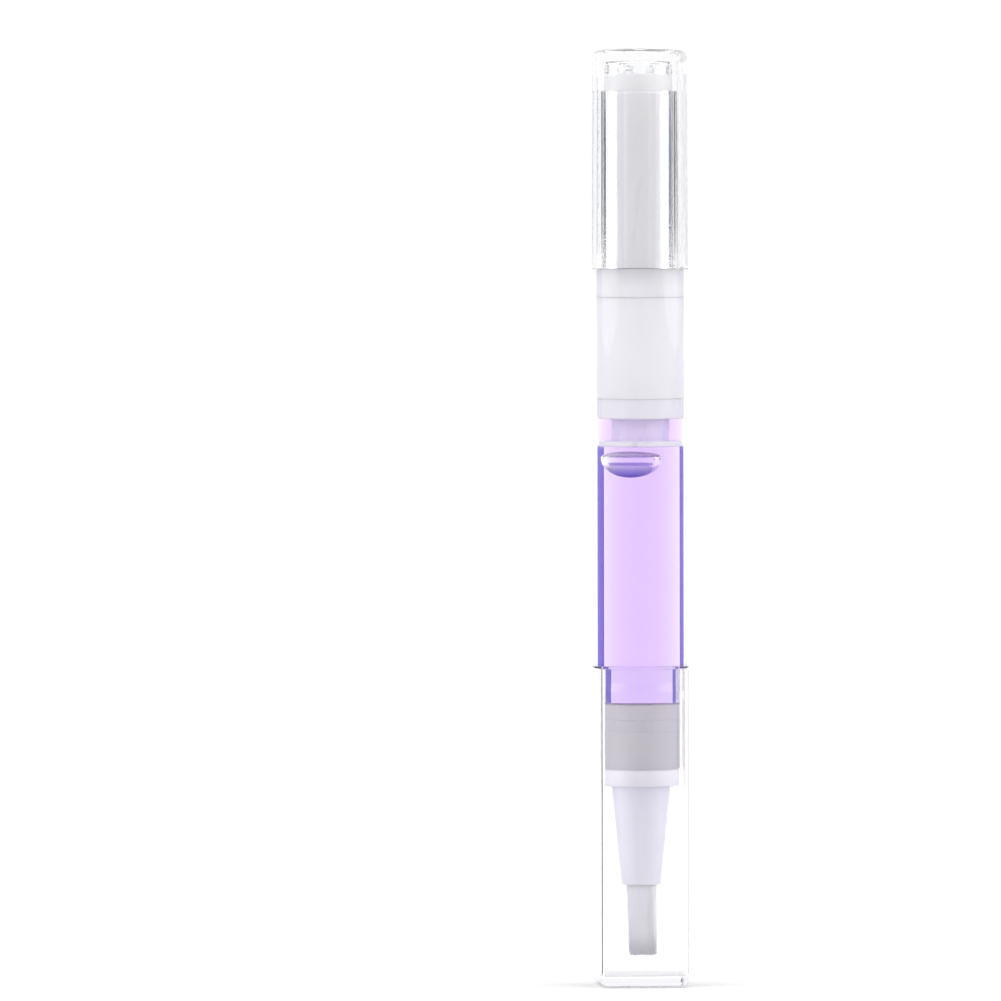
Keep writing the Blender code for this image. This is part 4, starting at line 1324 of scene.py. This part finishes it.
# Knob. A clear square moulding with flat sides, a round bore for the sleeve and a thick, slightly domed end.
# The dimple in the end is where the plastic entered the mould.
KNOB_HALF = 0.006745
KNOB_DRAFT = 0.0001  # by which each side leans in from the rim to the end
KNOB_EDGE = 0.00035
KNOB_RIM_EDGE = 0.0002
KNOB_CROWN_EDGE = 0.00015
KNOB_BORE_RADIUS = 0.0058
SOCKET_BORE_RADIUS = 0.00525
SOCKET_BOTTOM_HEIGHT = 0.1384
KNOB_INNER_END = 0.1430
BORE_END_EDGE = 0.0005
KNOB_TOP = 0.14517
CROWN_RADIUS = 0.035
CROWN_ROW_SHARES = (0.85, 0.6, 0.35)
CROWN_ROUNDING_SHARE = 0.9
DIMPLE_RADIUS = 0.0011
DIMPLE_DEPTH = 0.0004
DIMPLE_BRINK_SHARE = 1.1
DIMPLE_STEPS = 8
KNOB_RIPPLE = 0.03
TOOL_MARKS = (2600, 2)
TOOL_MARK_STRENGTH = 0.3
TOOL_MARK_HEIGHT = 0.00002
TOOL_MARK_REACH = 0.0001

knob_turns = [math.atan2(point.y, point.x) for point in square_row(KNOB_HALF, KNOB_EDGE, 0.0)]


def knob_plastic():
    """The clear plastic again, with the fine tool marks of the bore."""
    material = clear_plastic("knob_plastic", KNOB_RIPPLE)
    tree = material.node_tree
    shader = tree.nodes["Principled BSDF"]
    place = put(tree, "ShaderNodeTexCoord").outputs["Object"]
    split = put(tree, "ShaderNodeSeparateXYZ", {0: place}).outputs
    distance = off_axis(tree, split["X"], split["Y"])
    bore = reckon(tree, "LESS_THAN", distance, KNOB_BORE_RADIUS + TOOL_MARK_REACH)
    rough = put(tree, "ShaderNodeBump", {
        "Strength": TOOL_MARK_STRENGTH,
        "Distance": TOOL_MARK_HEIGHT,
        "Height": reckon(tree, "MULTIPLY", mottle(tree, *TOOL_MARKS), bore),
        "Normal": shader.inputs["Normal"].links[0].from_socket,
    })
    feed(shader, {"Normal": rough.outputs["Normal"]})
    return material


def crown(x, y):
    """The height of the domed end."""
    return KNOB_TOP - CROWN_RADIUS + math.sqrt(CROWN_RADIUS ** 2 - x * x - y * y)


def round_row(radius, height):
    """A round row, with its points in the same directions as those of the square rows."""
    return [Vector((radius * math.cos(turn), radius * math.sin(turn), height)) for turn in knob_turns]


def bore_rows():
    """From the middle of the bore's closed end down to the rim."""
    outline = rounded([
        (0, KNOB_INNER_END),
        (SOCKET_BORE_RADIUS, KNOB_INNER_END, BORE_END_EDGE),
        (SOCKET_BORE_RADIUS, SOCKET_BOTTOM_HEIGHT, FINE_EDGE),
        (KNOB_BORE_RADIUS, SOCKET_BOTTOM_HEIGHT, FINE_EDGE),
        (KNOB_BORE_RADIUS, knob_rim, MOULDED_EDGE),
        (KNOB_HALF, knob_rim),
    ], False)[1:-1]
    return [[Vector((0, 0, KNOB_INNER_END))]] + [round_row(radius, height) for radius, height in outline]


def side_rows():
    """From the rim up the flat sides and over the edge of the end."""
    rows = []
    for inwards, along in reversed(edge_steps(KNOB_RIM_EDGE)):
        rows.append(square_row(KNOB_HALF - inwards, KNOB_EDGE, knob_rim + along))
    for inwards, along in edge_steps(KNOB_CROWN_EDGE):
        half = KNOB_HALF - KNOB_DRAFT - inwards
        rows.append(square_row(half, KNOB_EDGE, lambda x, y: crown(x, y) - along))
    return rows


def crown_rows():
    """From the edge of the domed end, ever rounder, down to the bottom of the dimple."""
    rows = []
    for share in CROWN_ROW_SHARES:
        half = DIMPLE_RADIUS + (KNOB_HALF - KNOB_DRAFT - DIMPLE_RADIUS) * share
        edge = KNOB_EDGE + (half - KNOB_EDGE) * (1 - share) * CROWN_ROUNDING_SHARE
        rows.append(square_row(half, edge, crown))
    brink = DIMPLE_RADIUS * DIMPLE_BRINK_SHARE
    rows.append(round_row(brink, crown(brink, 0)))
    ball = (DIMPLE_RADIUS ** 2 + DIMPLE_DEPTH ** 2) / (2 * DIMPLE_DEPTH)
    bottom = crown(DIMPLE_RADIUS, 0) - DIMPLE_DEPTH
    for step in range(DIMPLE_STEPS):
        radius = DIMPLE_RADIUS * (1 - step / DIMPLE_STEPS)
        rows.append(round_row(radius, bottom + ball - math.sqrt(ball ** 2 - radius ** 2)))
    rows.append([Vector((0, 0, bottom))])
    return rows


def make_knob():
    rows = bore_rows() + side_rows() + crown_rows()
    knob = skin("knob_shell", rows[::-1], knob_plastic())
    knob.data.transform(Matrix.Rotation(KNOB_TURN, 4, "Z"))
    return knob


knob = make_knob()
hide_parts("knob")
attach(knob, "knob")
